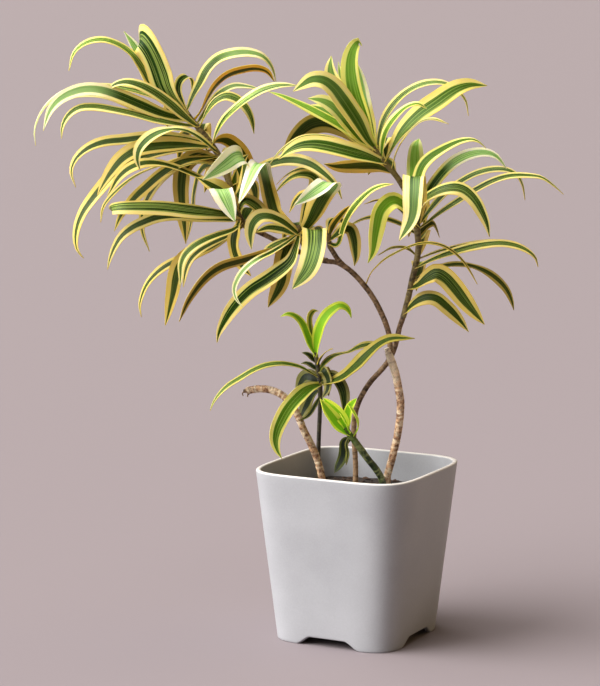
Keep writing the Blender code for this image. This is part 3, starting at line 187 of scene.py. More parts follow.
# Each leaf: greatest width, how far its face turns to the viewer at base, middle and tip
# (degrees), and the points it passes through from base to tip
LEFT_LEAVES = [
    (30, (70, 80, 70), [(-176, 545, -20), (-189, 558, -14), (-197, 571, -10), (-202, 586, -8),
        (-208, 601, -6), (-214.5, 613, -7), (-220.5, 620.5, -13), (-223, 619, -30), (-220, 610, -50),
        (-213, 594, -64)]),
    (14, (60, 65, 60), [(-178, 545, -26), (-197, 560, -28), (-211, 576, -30), (-219, 593, -32),
        (-227, 611, -34), (-239, 628, -36)]),
    (15, (70, 25, 25), [(-181, 548, -22), (-198, 558, -24), (-211, 573, -24), (-221, 590, -22),
        (-232, 605, -20), (-246, 615, -18), (-262, 619.5, -16), (-278, 616, -14), (-290, 606, -12),
        (-295.5, 588, -10)]),
    (16, (75, 60, 50), [(-172, 535, -18), (-200, 544, -6), (-225, 554, 2), (-248, 563.5, 6),
        (-265, 568.5, 10), (-281, 569, 12), (-296, 564.5, 14), (-307.5, 557, 16), (-316, 546, 16),
        (-322.5, 527, 16)]),
    (10, (50, 20, 20), [(-177, 545, -24), (-210, 562, -28), (-245, 571, -28), (-275, 573, -26),
        (-300, 567, -24), (-317, 555, -22), (-327, 541, -20), (-331.5, 527, -20), (-330.5, 512, -20)]),
    (14, (30, 32, 35), [(-165, 531, -12), (-190, 534, -2), (-210, 538, 4), (-230, 543.5, 9),
        (-250, 548, 13), (-270, 551, 15), (-285, 550, 17), (-296, 543, 18), (-302.5, 532, 18),
        (-304, 519, 18)]),
    (13, (40, 35, 40), [(-174, 540, -18), (-223, 546.1, -18), (-234.8, 553.3, -16), (-248.4, 559.8, -14),
        (-262.1, 563.3, -12), (-275.9, 564.1, -10), (-287.7, 562.3, -8), (-297.1, 558.2, -7)]),
    (13, (60, 65, 40), [(-165, 530, -14), (-180, 543, -6), (-195, 556, 0), (-209, 566, 4), (-223, 573, 6),
        (-238, 576.5, 6), (-250, 573.5, 4), (-258, 566, 2)]),
    (15, (62, 12, 72), [(-146, 504, -10), (-162, 519, 2), (-177, 527, 10), (-191, 528.5, 16),
        (-205, 525.5, 20), (-217, 518.5, 24), (-225.5, 508, 28), (-227, 497, 30), (-223.5, 486, 30)]),
    (15, (50, 45, 35), [(-152, 512, -20), (-180, 519, -26), (-212, 520.5, -30), (-240, 518, -30),
        (-262, 515.5, -28), (-278, 509, -26), (-290, 498, -24), (-294.5, 485, -22), (-290, 469, -20)]),
    (15, (20, 40, 40), [(-177, 547, -26), (-170, 560, -28), (-162, 575, -30), (-154, 590, -33),
        (-143, 600.5, -36), (-128, 605.5, -38), (-112, 606.5, -40), (-98, 602.5, -41), (-89, 592, -42),
        (-84.5, 577, -44)]),
    (9, (30, 30, 30), [(-181, 550, -26), (-185, 568, -38), (-182, 579, -50), (-175, 582.5, -60),
        (-170, 578, -68), (-170.5, 569, -76)]),
    (15, (-30, -45, -30), [(-168, 536, -26), (-160, 548, -36), (-153, 562, -44), (-145, 574, -50),
        (-133, 584, -55), (-118, 589, -59), (-104, 590.5, -62), (-93, 587, -64), (-86, 577, -66)]),
    (13, (40, 45, 50), [(-149, 513, -10), (-145, 525, -4), (-137, 539, 2), (-126, 550, 6), (-112, 561, 10),
        (-97, 569.5, 12), (-80, 573.5, 14), (-62, 573, 16)]),
    (11, (20, 35, 30), [(-164, 533, -28), (-157, 545, -30), (-149, 557, -31), (-139, 567, -32),
        (-127, 572.5, -32), (-113, 572, -32), (-98, 568, -32)]),
    (12, (10, 50, 40), [(-163, 531, -16), (-155, 545, -16), (-146, 557, -16), (-135, 562, -16),
        (-124, 558.5, -15), (-115, 549.5, -14), (-109.5, 538, -14), (-107, 524, -14)]),
    (16, (-40, -50, -40), [(-152, 510, -22), (-145, 517, -30), (-135, 517.5, -37), (-125, 511, -42),
        (-117, 501, -46), (-111, 489, -50), (-107, 478, -52)]),
    (18, (40, 62, 50), [(-152, 508, -18), (-180, 513, -10), (-208, 512, -4), (-228, 508, 0), (-243, 499, 2),
        (-254, 486, 4), (-262, 473, 4), (-268, 461, 4)]),
    (16, (30, 50, 45), [(-152, 506, -20), (-190, 507, -20), (-215, 502, -19), (-235, 494, -18),
        (-250, 484.5, -16), (-263, 470, -15), (-274, 456.5, -14), (-283, 443.5, -13), (-289, 429, -12),
        (-291, 414, -11), (-289, 404, -10), (-283, 396, -10)]),
    (15, (10, 25, 62), [(-131, 468, -10), (-150, 474, 2), (-170, 482, 10), (-190, 490, 15), (-207, 494, 18),
        (-222, 493.5, 21), (-236, 488, 23), (-247, 478, 25), (-254, 466, 26), (-258, 460, 26)]),
    (10, (30, 10, 60), [(-150, 504, -30), (-195, 494, -40), (-228, 481, -42), (-250, 464, -42),
        (-262, 449, -42), (-265, 433, -42)]),
    (13, (20, 60, 60), [(-145, 500, -14), (-180, 495, -6), (-200, 484, -2), (-218, 469, 0), (-232, 456, 2),
        (-243, 442, 3), (-251, 424, 4)]),
    (12, (20, 50, 50), [(-142, 498, -20), (-180, 492, -26), (-200, 479, -28), (-213, 463, -28),
        (-221, 445, -28), (-222, 425, -28), (-215, 403, -28)]),
    (20, (80, 85, 80), [(-142, 496, -14), (-165, 501, -24), (-178, 491, -30), (-181.5, 473, -33),
        (-181, 450, -34), (-179, 430, -34), (-177.5, 411, -34)]),
    (14, (40, 60, 60), [(-140, 494, -30), (-160, 488, -44), (-168, 465, -50), (-170, 445, -52),
        (-173, 427, -52), (-178, 411, -52)]),
    (7, (10, 10, 10), [(-138, 488, -6), (-160, 494, 4), (-180, 491, 10), (-196, 483, 14)]),
    (15, (60, 75, 60), [(-122, 437, -14), (-145, 441.5, 4), (-170, 444, 16), (-200, 447.5, 22),
        (-225, 448.3, 24), (-243, 448, 22), (-252, 447, 14), (-251.5, 445, -6), (-247, 441, -26)]),
    (14, (40, 50, 45), [(-120, 433, -20), (-155, 437, -18), (-188, 440, -14), (-207, 438, -12),
        (-221, 433, -10), (-233, 427, -9), (-244, 418, -8), (-251, 407, -7), (-255.5, 396, -6),
        (-258.5, 384, -6)]),
    (24, (0, 50, 70), [(-126, 452, -10), (-119, 470, -4), (-117.5, 495.3, 3), (-119.7, 501.7, 12),
        (-126.4, 501, 20), (-136.5, 493.4, 26), (-148.5, 484.7, 29), (-159.9, 476.7, 30)]),
    (12, (60, 60, 60), [(-125, 450, -10), (-127.7, 465.3, -14), (-126.5, 476.7, -16),
        (-124.9, 487.1, -18)]),
    (22, (70, 75, 80), [(-124, 436, -8), (-129, 450, 8), (-137, 463, 20), (-147, 470, 26), (-158, 476, 28),
        (-166, 479, 29)]),
    (12, (60, 60, 40), [(-128, 458, -14), (-124, 480, -22), (-120, 496, -30), (-113, 503, -38)]),
    (14, (30, 50, 60), [(-124, 440, -14), (-116, 456, -12), (-104, 450, -12), (-92, 434, -12)]),
    (17, (60, 75, 75), [(-120, 433, -14), (-126, 424, -8), (-128, 412, -4), (-126.5, 401, -2),
        (-121.5, 391, 0), (-116, 384, 1), (-110.5, 377.5, 2)]),
    (10, (15, 40, 50), [(-118, 429, -16), (-130, 424.5, -4), (-145, 419.5, 4), (-158, 414.5, 8),
        (-170, 407.5, 11), (-178.5, 399, 12), (-182.5, 389, 12), (-183, 378, 12), (-184, 366, 12)]),
    (10, (20, 30, 50), [(-117, 427, -20), (-135, 418, -16), (-150, 411, -14), (-163, 403.5, -12),
        (-172, 395, -11), (-177, 385, -10), (-179, 376, -10), (-180.5, 366, -10)]),
    (17, (40, 75, 80), [(-118, 427, -24), (-148, 412, -26), (-172, 401, -26), (-184, 390, -25),
        (-189, 376, -24), (-191.5, 362, -23), (-194.5, 348, -22), (-197, 336, -22), (-199.5, 326, -22)]),
    (13, (25, 42, 42), [(-119, 428, -28), (-150, 409, -40), (-180, 396.5, -42), (-198, 388, -42),
        (-210, 378.5, -42), (-218, 368.5, -42), (-223.5, 356, -42), (-225.5, 346, -42), (-224, 335, -42)]),
    (15, (30, 50, 50), [(-128, 470, -14), (-114, 481, -24), (-100, 489, -29), (-86, 494.5, -29),
        (-72, 497, -22), (-59, 496, -10), (-47, 491.5, 0), (-37, 484.5, 6), (-28, 476.5, 8), (-21, 467, 8),
        (-17, 457, 8)]),
    (16, (0, 0, 0), [(-176, 543, -26), (-186, 552, -60), (-192, 552, -100), (-196, 530, -132)]),
    (16, (0, 0, 0), [(-160, 524, -24), (-160, 533, -60), (-158, 531, -100), (-155, 505, -132)]),
    (16, (0, 0, 0), [(-150, 510, -22), (-165, 526, -65), (-178, 522, -105), (-185, 495, -132)]),
    (16, (0, 0, 0), [(-138, 492, -20), (-130, 508, -60), (-124, 506, -98), (-120, 480, -125)]),
    (16, (0, 0, 0), [(-132, 475, -18), (-140, 490, -65), (-150, 486, -98), (-158, 464, -125)]),
    (16, (0, 0, 0), [(-128, 460, -18), (-120, 475, -60), (-110, 473, -92), (-104, 448, -120)]),
    (24, (0, 0, 5), [(-124, 444, -8), (-133.4, 451.6, 4), (-139.1, 461.1, 16), (-141.7, 467.2, 28),
        (-139.1, 462.4, 38), (-133.8, 450.4, 43), (-126.8, 433.6, 46)]),
    (16, (0, 0, 0), [(-118, 435, -24), (-113, 447, -60), (-106, 446, -92), (-100, 435, -115)]),
]
MIDDLE_LEAVES = [
    (21, (0, 0, 25), [(-58, 420, 4), (-50.1, 434.8, 12), (-41.6, 451.9, 22), (-33, 465.3, 33),
        (-27.7, 472.5, 41), (-32.1, 473.8, 48), (-42.5, 467.6, 54), (-53.9, 459.2, 58),
        (-66.3, 450.4, 60)]),
    (11, (45, 50, 70), [(-57, 424, 0), (-46, 452, -10), (-41, 472, -13), (-46, 480.5, -14), (-57, 483, -14),
        (-68, 480, -14), (-77, 473, -14), (-85, 464, -14)]),
    (10, (35, 40, 50), [(-58, 424, -4), (-52, 455, -22), (-46, 475, -28), (-50, 485, -31), (-60, 487, -32),
        (-70, 484, -32), (-78, 478.5, -32), (-84, 472, -32)]),
    (9, (30, 30, 30), [(-59, 424, 4), (-50, 440, 6), (-46, 455, 8), (-50, 463.5, 10), (-58, 462, 12),
        (-65, 455, 13), (-71, 443, 14)]),
    (25, (0, 0, 0), [(-58, 416, 2), (-48, 424, 16), (-45, 424, 30), (-46, 405, 42), (-52, 386, 46),
        (-68, 364, 42)]),
    (16, (60, 50, 60), [(-59, 418, 6), (-68, 426.5, 14), (-79, 434.5, 22), (-91, 439.5, 28),
        (-102, 439, 33), (-109, 432, 36), (-111.5, 422, 37), (-111, 413, 37), (-110, 405, 37)]),
    (10, (20, 30, 30), [(-59, 416, 4), (-78, 413, 14), (-92, 406, 20), (-101, 393, 22)]),
    (14, (-30, -55, -60), [(-58, 413, 4), (-78, 406, 14), (-100, 399, 20), (-122, 392.5, 24),
        (-138, 388, 26), (-150, 381.5, 28), (-160, 372.5, 29), (-169, 361, 30), (-177, 348, 30),
        (-185, 330, 30)]),
    (19, (60, 80, 80), [(-60, 419, 2), (-72, 410, 9), (-78, 391, 12), (-80, 372, 14), (-93, 345, 14)]),
    (12, (50, 60, 60), [(-60, 420, 0), (-68, 406, -10), (-71, 387, -12), (-76, 368, -10), (-90, 350, -10)]),
    (17, (10, 62, 72), [(-60, 421, 4), (-64, 408, 17), (-70, 393, 24), (-84, 381, 27), (-98, 371.5, 29),
        (-110, 364, 31), (-121, 354, 33), (-131, 342, 34), (-139, 329, 35), (-144, 318, 36),
        (-146, 308, 36)]),
    (7, (20, 30, 50), [(-60, 422, 4), (-72, 413, 18), (-88, 403, 30), (-103, 395.5, 38), (-116, 386, 43),
        (-124, 375.5, 46), (-128, 364, 48), (-126, 354, 50), (-119, 345, 52)]),
    (13, (30, 40, 40), [(-59, 419, -2), (-78, 425, -2), (-93, 427, 0), (-105, 423, 4)]),
    (15, (0, 0, 0), [(-59, 424, 0), (-63, 431, -35), (-70, 431, -68), (-78, 415, -92)]),
    (15, (0, 0, 0), [(-57, 422, 0), (-49, 428, -35), (-42, 426, -68), (-36, 408, -92)]),
    (24, (-25, -5, 25), [(-60, 420, -2), (-76.5, 433.3, -8), (-87.1, 443.4, -13), (-91.7, 457.3, -15),
        (-95, 472.8, -13), (-97.6, 484.4, -6), (-100.9, 493.2, 6), (-106.1, 489, 20), (-112.8, 475.1, 32),
        (-118.6, 462, 38), (-122.9, 452.4, 42)]),
]
FORK_LEAVES = [
    (12, (50, 45, 40), [(-29.5, 411, 3), (-23, 409, 9), (-19.5, 412, 12), (-17, 420, 15), (-14, 430, 18),
        (-9.5, 440, 20), (-3, 450, 22), (5.5, 459.5, 24), (15, 467, 26), (25, 471, 28), (36, 472.5, 29)]),
    (8, (-30, -30, -30), [(-30, 418, 5), (-26, 430, 12), (-19.5, 439, 18), (-9, 450.5, 22)]),
    (13, (50, 70, 70), [(-29.5, 414, 4), (-22, 421, 9), (-15, 427, 12), (-8, 426, 13), (-4.5, 418, 13),
        (-3, 408, 12.5), (-2.5, 396, 12), (-4, 388, 12)]),
    (14, (0, 0, 0), [(-30, 420, 4), (-26, 434, -22), (-19, 437, -48), (-10, 425, -72)]),
]
RIGHT_LEAVES = [
    (23, (0, 0, 0), [(60, 430, 2), (60, 452, 16), (58, 474, 28), (57, 480, 36), (56, 460, 46),
        (54, 438, 46), (42, 414, 40)]),
    (19, (0, 0, 0), [(60, 433, 0), (59.5, 465, -8), (58.5, 492, -14), (59, 512, -24), (62, 519, -38)]),
    (15, (50, 50, 10), [(60, 434, 0), (60, 455, 2), (61, 475, 4), (66, 491, 6), (74, 500, 8), (83, 506, 8),
        (94, 512, 8), (105, 516.5, 8), (116, 518, 8), (124, 515, 8), (130.5, 509, 8)]),
    (13, (30, 60, 60), [(60, 432, -4), (68, 456, -10), (77, 472, -14), (86, 484, -16), (95, 493, -18),
        (105, 499.5, -18), (117, 504, -18), (130, 505, -18), (141, 501, -18), (152, 488, -18)]),
    (10, (20, 25, 60), [(61, 428, -4), (74, 446, -20), (90, 464, -32), (105, 475, -38), (120, 483, -41),
        (137, 487.5, -42), (152, 487, -42), (162, 482, -42), (168, 472, -42), (171, 456, -42)]),
    (13, (15, 25, 20), [(61, 424, 0), (85, 443, -2), (103, 455, -3), (120, 466, -4), (137, 475, -4),
        (155, 480.5, -4), (175, 481, -4), (188, 479, -4), (200, 471, -4), (210.5, 462, -4)]),
    (15, (20, 60, 60), [(60, 432, 4), (68, 455, 16), (78, 462.5, 21), (88, 466.5, 25), (99, 468, 27),
        (107, 466, 28), (114, 461, 29), (120.5, 453.5, 30), (127, 442, 30), (132, 430.5, 30),
        (135, 418, 30)]),
    (8, (60, 60, 60), [(61, 418, -4), (69, 429, -16), (76.5, 432, -22), (80.5, 426, -25),
        (83.5, 417.5, -27)]),
    (10, (20, 20, 20), [(60, 420, -6), (45, 430, -14), (30, 436, -18), (12, 438, -20), (-3, 433, -22),
        (-14, 424, -24)]),
    (9, (-20, -20, -20), [(60, 424, 2), (50, 438, 8), (38, 450, 8), (22, 456, 6), (6, 452, 2)]),
    (18, (40, 70, 70), [(60, 428, 4), (50, 446, 16), (36, 455.5, 24), (24, 446, 30), (18.5, 424, 32),
        (15, 402, 32), (10, 391, 30)]),
    (7, (15, 15, 15), [(60, 397, -4), (50, 406, -8), (36, 407, -10), (20, 399, -12)]),
    (13, (20, 35, 30), [(58, 384, 2), (76, 394, 8), (98, 402, 12), (125, 409, 14), (150, 411, 16),
        (170, 406, 16), (182, 397, 16), (185.5, 387, 16)]),
    (8, (15, 15, 15), [(60, 394, -6), (80, 402, -14), (110, 410, -18), (140, 414, -20), (163, 411, -20),
        (180, 401, -20)]),
    (14, (10, 15, 72), [(56, 369, -2), (70, 380, -6), (85, 386.5, -8), (100, 389, -8), (115, 388, -8),
        (130, 382.5, -8), (143, 374, -8), (153, 363, -8), (159, 350, -8), (161, 342, -8)]),
    (20, (30, 80, 80), [(56, 362, 2), (63, 369, 6), (72, 376, 10), (81, 380.5, 13), (90, 376, 15),
        (99, 366.5, 16.5), (108, 355, 17.5), (117, 343.5, 18), (125, 334, 18), (131, 327, 18)]),
    (15, (40, 75, 80), [(48, 338, -5), (55, 346, 0), (63, 352, 4), (72, 355, 7), (81, 353.5, 9),
        (90, 346.5, 10), (99, 338, 10), (107.5, 328.5, 10), (114.5, 319.5, 10)]),
    (16, (0, 0, 0), [(60, 432, -2), (63, 452, -38), (66, 452, -76), (68, 430, -104)]),
    (16, (0, 0, 0), [(60, 424, -4), (56, 440, -42), (53, 440, -78), (52, 418, -100)]),
    (16, (0, 0, 0), [(60, 414, -6), (66, 424, -42), (66, 420, -80), (62, 396, -108)]),
    (14, (0, 0, 0), [(58, 384, -6), (62, 392, -42), (63, 386, -75), (60, 362, -98)]),
]
TOP_LEAVES = [
    (19.5, (70, 70, 60), [(15, 511, -8), (8, 527, -4), (1, 545, 0), (-5, 563, 2), (-9, 582, 4),
        (-9.5, 598, 4), (-6.5, 610, 2), (-1, 617.5, -4), (3, 613, -14)]),
    (15, (60, 62, 60), [(16, 511, -12), (8.2, 542.4, -15), (4.9, 558.4, -17), (2.7, 571.5, -18),
        (0.7, 584.5, -18), (-1.4, 595.3, -17)]),
    (24, (65, 72, 55), [(14, 508, -4), (8, 520, 2), (0, 534, 7), (-9, 548, 11), (-18, 561, 14),
        (-27, 572, 17), (-37, 578.5, 20), (-48, 579, 22), (-58, 573.5, 23), (-67, 567, 23)]),
    (20, (60, 65, 65), [(13, 512, -14), (0, 535, -20), (-13, 555, -25), (-23, 570, -28), (-28.5, 583, -30),
        (-29.5, 594, -32), (-28, 603, -36)]),
    (10, (60, 60, 60), [(15, 512, -16), (5, 535, -22), (-5, 553, -28), (-13, 570, -33), (-18.5, 584, -37),
        (-21, 597, -40)]),
    (13, (40, 38, 30), [(17, 504, -8), (2, 517, -10), (-14, 528.5, -12), (-30, 538, -12), (-47, 547, -12),
        (-63, 555, -13), (-78, 562, -13), (-92, 567, -14)]),
    (20, (50, 60, 60), [(14, 507, -6), (3, 519, -4), (-8, 532, -2), (-17, 543, -1), (-27, 552.5, 0),
        (-38, 558, 1), (-52, 560, 2)]),
    (18, (45, 50, 50), [(15, 505, -12), (0, 520, -18), (-15, 534, -21), (-28, 543.5, -24), (-41, 550, -26),
        (-52, 553, -27)]),
    (23, (-50, -70, -65), [(17, 504, -14), (-1, 519.4, -24), (-17.1, 529.2, -30), (-33.5, 535.1, -35),
        (-48.6, 532.6, -38), (-62, 522, -39), (-72.2, 509.6, -40), (-79.7, 501.1, -40)]),
    (7.9, (30, 25, 20), [(20, 502, -10), (2, 509, -12), (-14, 515, -12), (-30, 520, -12), (-45, 522, -12),
        (-58, 520.5, -12), (-70, 514.5, -12), (-82, 504.5, -12), (-92, 492, -12)]),
    (19, (60, 65, 50), [(27, 494, -6), (11, 500.5, 2), (-4, 505, 6), (-19, 509, 8), (-34, 512.5, 8),
        (-48, 514, 7), (-60, 512.5, 6), (-71, 507.5, 4), (-82, 498, 1)]),
    (17, (-50, -62, -55), [(36, 484, -14), (18.8, 489.9, -19), (3.1, 490.5, -24), (-11.7, 489.9, -27),
        (-24.5, 490.3, -30), (-35.4, 493.2, -32)]),
    (14, (50, 40, 20), [(24, 498, -6), (24.5, 512, -2), (27.5, 525, 1), (33.5, 536, 3), (41.5, 545.5, 5),
        (51, 552.5, 7), (61, 554.5, 8), (69.5, 549.5, 8)]),
    (10, (20, 30, 50), [(20, 503, -12), (21, 522, -22), (26, 539, -30), (34, 552.5, -34), (45, 564, -37),
        (59, 572.5, -39), (74, 576.5, -41), (88, 575.5, -42), (100, 568.5, -43), (109, 557.5, -44),
        (112, 542, -44)]),
    (22, (0, 55, 82), [(28, 493, -10), (35, 509, -12), (43, 524, -14), (52, 535, -14), (61, 543.5, -14),
        (70, 550.5, -14), (80, 557.5, -14), (91, 565.5, -15), (102, 571.5, -15), (114, 574.5, -16),
        (131, 573, -16)]),
    (10, (20, 20, 15), [(35, 486, -8), (37, 499, -4), (42, 511.5, 2), (49, 522, 6), (57, 531.5, 9),
        (66, 537.5, 11), (77, 539, 13), (92, 534, 14)]),
    (16, (0, 0, 0), [(20, 503, -10), (24, 516, -48), (27, 518, -86), (27, 495, -116)]),
    (16, (0, 0, 0), [(26, 496, -12), (14, 510, -52), (3, 509, -90), (-4, 484, -116)]),
    (16, (0, 0, 0), [(36, 484, -14), (28, 496, -50), (18, 497, -88), (10, 482, -112)]),
]
SHOOT_LEAVES = [
    (14, (70, 60, 30), [(-44, 293, -30), (-43.5, 301, -29), (-42.6, 311, -28), (-40.6, 320, -27),
        (-37.5, 329, -26), (-33, 336.5, -25), (-27, 342.5, -24), (-19, 347, -23), (-12, 344.5, -22),
        (-8.5, 339, -21), (-7, 334, -20)]),
    (11, (60, 50, 30), [(-44, 293, -30), (-49, 305.5, -29), (-53, 316, -28), (-56.5, 325.3, -27),
        (-61, 332, -26), (-67, 336.6, -25), (-73, 338, -24), (-80, 335.5, -23)]),
    (10, (60, 60, 50), [(-44, 296, -32), (-46.5, 307, -36), (-49, 318.7, -40), (-50.5, 329, -44),
        (-50, 336, -46), (-47.5, 340, -48), (-44.5, 341.6, -50), (-41, 341, -52)]),
    (9, (15, 15, 15), [(-42, 284, -29), (-39, 290, -26), (-36.8, 294, -24), (-33.5, 297.8, -22),
        (-29.7, 300.4, -20), (-25.8, 302, -18)]),
    (7, (30, 30, 20), [(-43, 286, -30), (-47, 291.5, -33), (-50.4, 295, -35), (-54.2, 297, -36),
        (-58, 297.6, -37)]),
    (7, (20, 20, 20), [(-42, 278, -30), (-46.5, 282.7, -33), (-51, 285.8, -36), (-55, 287, -38),
        (-59, 286.2, -40)]),
    (9, (20, 28, 35), [(-41, 270, -29), (-50, 277, -27), (-58, 281.5, -25), (-68, 284.5, -23),
        (-81, 286, -20), (-96, 284, -18), (-110, 278.3, -16.5), (-122, 271, -16), (-134, 263.5, -15),
        (-143, 255, -14), (-149.5, 246, -13), (-153.5, 236.8, -12)]),
    (15, (50, 75, 75), [(-41, 266, -31), (-48.4, 272.5, -38), (-54, 273, -43), (-58, 269.5, -46),
        (-60.5, 264.5, -48), (-62.3, 259.5, -49), (-63.5, 254, -50)]),
    (15, (50, 75, 75), [(-40, 259, -31), (-47, 253.5, -37), (-51.5, 246, -41), (-55, 239, -43),
        (-58, 232, -43), (-60, 226, -43)]),
    (16, (50, 50, 52), [(-40, 264, -28), (-48, 262, -16), (-55.5, 257.8, -6), (-63.3, 250.6, 2),
        (-70, 243, 6), (-75.5, 235, 8), (-80, 226.5, 10), (-84, 217, 12), (-86, 206, 12), (-84, 195, 12),
        (-79, 186, 12)]),
    (5, (20, 20, 20), [(-39, 252, -28), (-45, 241, -16), (-52, 231, -6), (-61, 226, -2)]),
    (11, (40, 50, 50), [(-41, 276, -28), (-36, 279, -20), (-31, 270, -16), (-32, 258, -14),
        (-37, 250, -13)]),
    (12, (60, 0, 70), [(-41, 277, -29), (-36, 284.5, -26), (-30.5, 290, -24), (-24, 294, -22),
        (-16, 296.2, -20), (-9, 298.5, -18), (-2, 302.4, -16), (5, 305.3, -14), (12.5, 307, -13),
        (22, 309, -12)]),
    (17, (20, 60, 30), [(-39, 264, -28), (-25, 268.5, -12), (-14.7, 273.5, -4), (-8, 279, 2),
        (-0.5, 286, 8), (6, 292.8, 12), (12.5, 299.2, 15), (19, 304.8, 17), (25.5, 309.2, 19),
        (32, 312, 20), (39, 313.2, 21), (47, 313, 22), (59, 312.6, 22)]),
    (12, (60, 70, 60), [(-39, 266, -28), (-28, 274, -22), (-20, 268.5, -18), (-14.5, 258, -16),
        (-13.2, 247, -16), (-14, 233, -16)]),
    (14, (0, 0, 0), [(-40, 268, -31), (-38, 282, -60), (-34, 276, -85), (-30, 252, -100)]),
]
SPROUT_LEAVES = [
    (16, (60, 60, 50), [(-8, 211, 15), (-20, 222, 20), (-30, 235, 24), (-39, 249, 26)]),
    (13, (60, 60, 50), [(-10, 214, 16), (-16, 228, 16), (-26, 240, 16), (-36, 250, 14)]),
    (9, (60, 60, 50), [(-10, 216, 15), (-11, 230, 12), (-8, 241, 10), (-1, 250, 8)]),
    (10, (60, 60, 60), [(-6, 208, 14), (0, 220, 18), (-3, 233, 20), (-10, 243, 20)]),
    (13, (50, 50, 50), [(-9, 212, 18), (-13, 223, 28), (-19, 234, 34)]),
    (12, (70, 80, 80), [(-6, 208, 12), (-13, 203, 8), (-15, 188, 6), (-24, 171, 4)]),
    (7, (60, 70, 70), [(-8, 210, 15), (-11, 201, 13), (-10, 192, 12), (-12, 179, 11)]),
]
BRANCH_LEAF = (7, (10, 15, 20), [(8.8, 369.7, 1), (13, 380, 4), (19, 387, 7), (28, 395, 10), (40, 402, 13),
    (52, 407.5, 15), (64, 411, 17), (76, 411.5, 19), (88, 408.5, 21), (98, 402.5, 22), (107, 394, 22),
    (115, 383, 22), (123, 369, 22)])


# ---- places and curves -----------------------------------------------------------------

def in_row_frame(point):
    """Place in the row frame of a point given with the plant's main plane along X."""
    return Matrix.Rotation(PLANT_TURN, 3, "Z") @ point + POT_PLACE


def seen(across, up, nearer):
    """Place in the row frame of a point given in the plant's own measures."""
    on_plane = Vector((across * MM, 0.0, up * MM))
    return in_row_frame(on_plane + (EYE - on_plane).normalized() * (nearer * MM))


VIEWER = in_row_frame(EYE)


def catmull(p0, p1, p2, p3, t):
    """Point between p1 and p2 on a smooth curve spaced by the root of the distance."""
    knots = [0.0]
    for a, b in ((p0, p1), (p1, p2), (p2, p3)):
        knots.append(knots[-1] + max((b - a).length, 1e-6) ** 0.5)
    t0, t1, t2, t3 = knots
    t = t1 + (t2 - t1) * t
    a1 = p0.lerp(p1, (t - t0) / (t1 - t0))
    a2 = p1.lerp(p2, (t - t1) / (t2 - t1))
    a3 = p2.lerp(p3, (t - t2) / (t3 - t2))
    b1 = a1.lerp(a2, (t - t0) / (t2 - t0))
    b2 = a2.lerp(a3, (t - t1) / (t3 - t1))
    return b1.lerp(b2, (t - t1) / (t2 - t1))


def smooth(points, steps=10):
    """Many points along the smooth curve through the given ones."""
    ends = [points[0] * 2 - points[1]] + list(points) + [points[-1] * 2 - points[-2]]
    curve = [catmull(*ends[i:i + 4], k / steps) for i in range(len(points) - 1) for k in range(steps)]
    return curve + [points[-1].copy()]


def along(curve, fractions):
    """Points at the given fractions of a curve's length."""
    run = [0.0]
    for a, b in zip(curve, curve[1:]):
        run.append(run[-1] + (b - a).length)
    found = []
    i = 0
    for fraction in fractions:
        goal = fraction * run[-1]
        while i < len(curve) - 2 and run[i + 1] < goal:
            i += 1
        share = (goal - run[i]) / max(run[i + 1] - run[i], 1e-9)
        found.append(curve[i].lerp(curve[i + 1], min(max(share, 0.0), 1.0)))
    return found


def nearest_on(path, point):
    """Nearest place to a point on a stem's centre line, a little in from its ends."""
    places = along(path, [0.03 + 0.94 * k / 60 for k in range(61)])
    return min(places, key=lambda place: (place - point).length)


def between(values, t):
    """Value at t on the two straight runs through a first, middle and last value."""
    low, middle, high = values
    if t < 0.5:
        return low + (middle - low) * t / 0.5
    return middle + (high - middle) * (t - 0.5) / 0.5


def eased(t):
    """0 to 1 with a soft start and end."""
    t = min(max(t, 0.0), 1.0)
    return t * t * (3 - 2 * t)


# ---- modelling helpers -----------------------------------------------------------------

def placed(name, data):
    """A new object of a mesh, lamp or camera, put in the scene."""
    made = bpy.data.objects.new(name, data)
    bpy.context.scene.collection.objects.link(made)
    return made


def alone(piece):
    """Only this piece selected and active."""
    bpy.ops.object.select_all(action="DESELECT")
    piece.select_set(True)
    bpy.context.view_layer.objects.active = piece


def smoothed(piece, degrees):
    """Faces shaded smooth up to an angle."""
    alone(piece)
    bpy.ops.object.shade_smooth_by_angle(angle=math.radians(degrees))
    return piece


def grid_piece(columns, rows):
    """A flat grid of 2 by 2, added at the origin, with its UV map."""
    bpy.ops.object.select_all(action="DESELECT")
    bpy.ops.mesh.primitive_grid_add(x_subdivisions=columns, y_subdivisions=rows, size=2.0, calc_uvs=True)
    return bpy.context.object


def to_copy(piece):
    """A primitive's mesh, kept to be copied; its own object goes."""
    mesh = piece.data.copy()
    bpy.data.objects.remove(piece, do_unlink=True)
    return mesh


def rolled(columns, rows, place):
    """A grid rolled round into a tube or shell: place(column, row) gives each point."""
    piece = grid_piece(columns, rows)
    for vert in piece.data.vertices:
        column, row = ((c + 1) / 2 * n for c, n in ((vert.co.x, columns), (vert.co.y, rows)))
        vert.co = place(round(column) % columns, round(row))
    return piece


def closed(piece, degrees):
    """The rolled grid's seam merged, its open ends filled, its faces outwards and smooth."""
    alone(piece)
    bpy.ops.object.mode_set(mode="EDIT")
    bpy.ops.mesh.select_mode(type="VERT")
    bpy.ops.mesh.select_all(action="SELECT")
    bpy.ops.mesh.remove_doubles(threshold=0.000005)
    bpy.ops.mesh.select_all(action="DESELECT")
    bpy.ops.mesh.select_non_manifold(extend=False, use_wire=False, use_multi_face=False,
                                     use_non_contiguous=False, use_verts=False)
    bpy.ops.mesh.fill_holes(sides=0)
    bpy.ops.mesh.select_all(action="SELECT")
    bpy.ops.mesh.normals_make_consistent(inside=False)
    bpy.ops.object.mode_set(mode="OBJECT")
    return smoothed(piece, degrees)


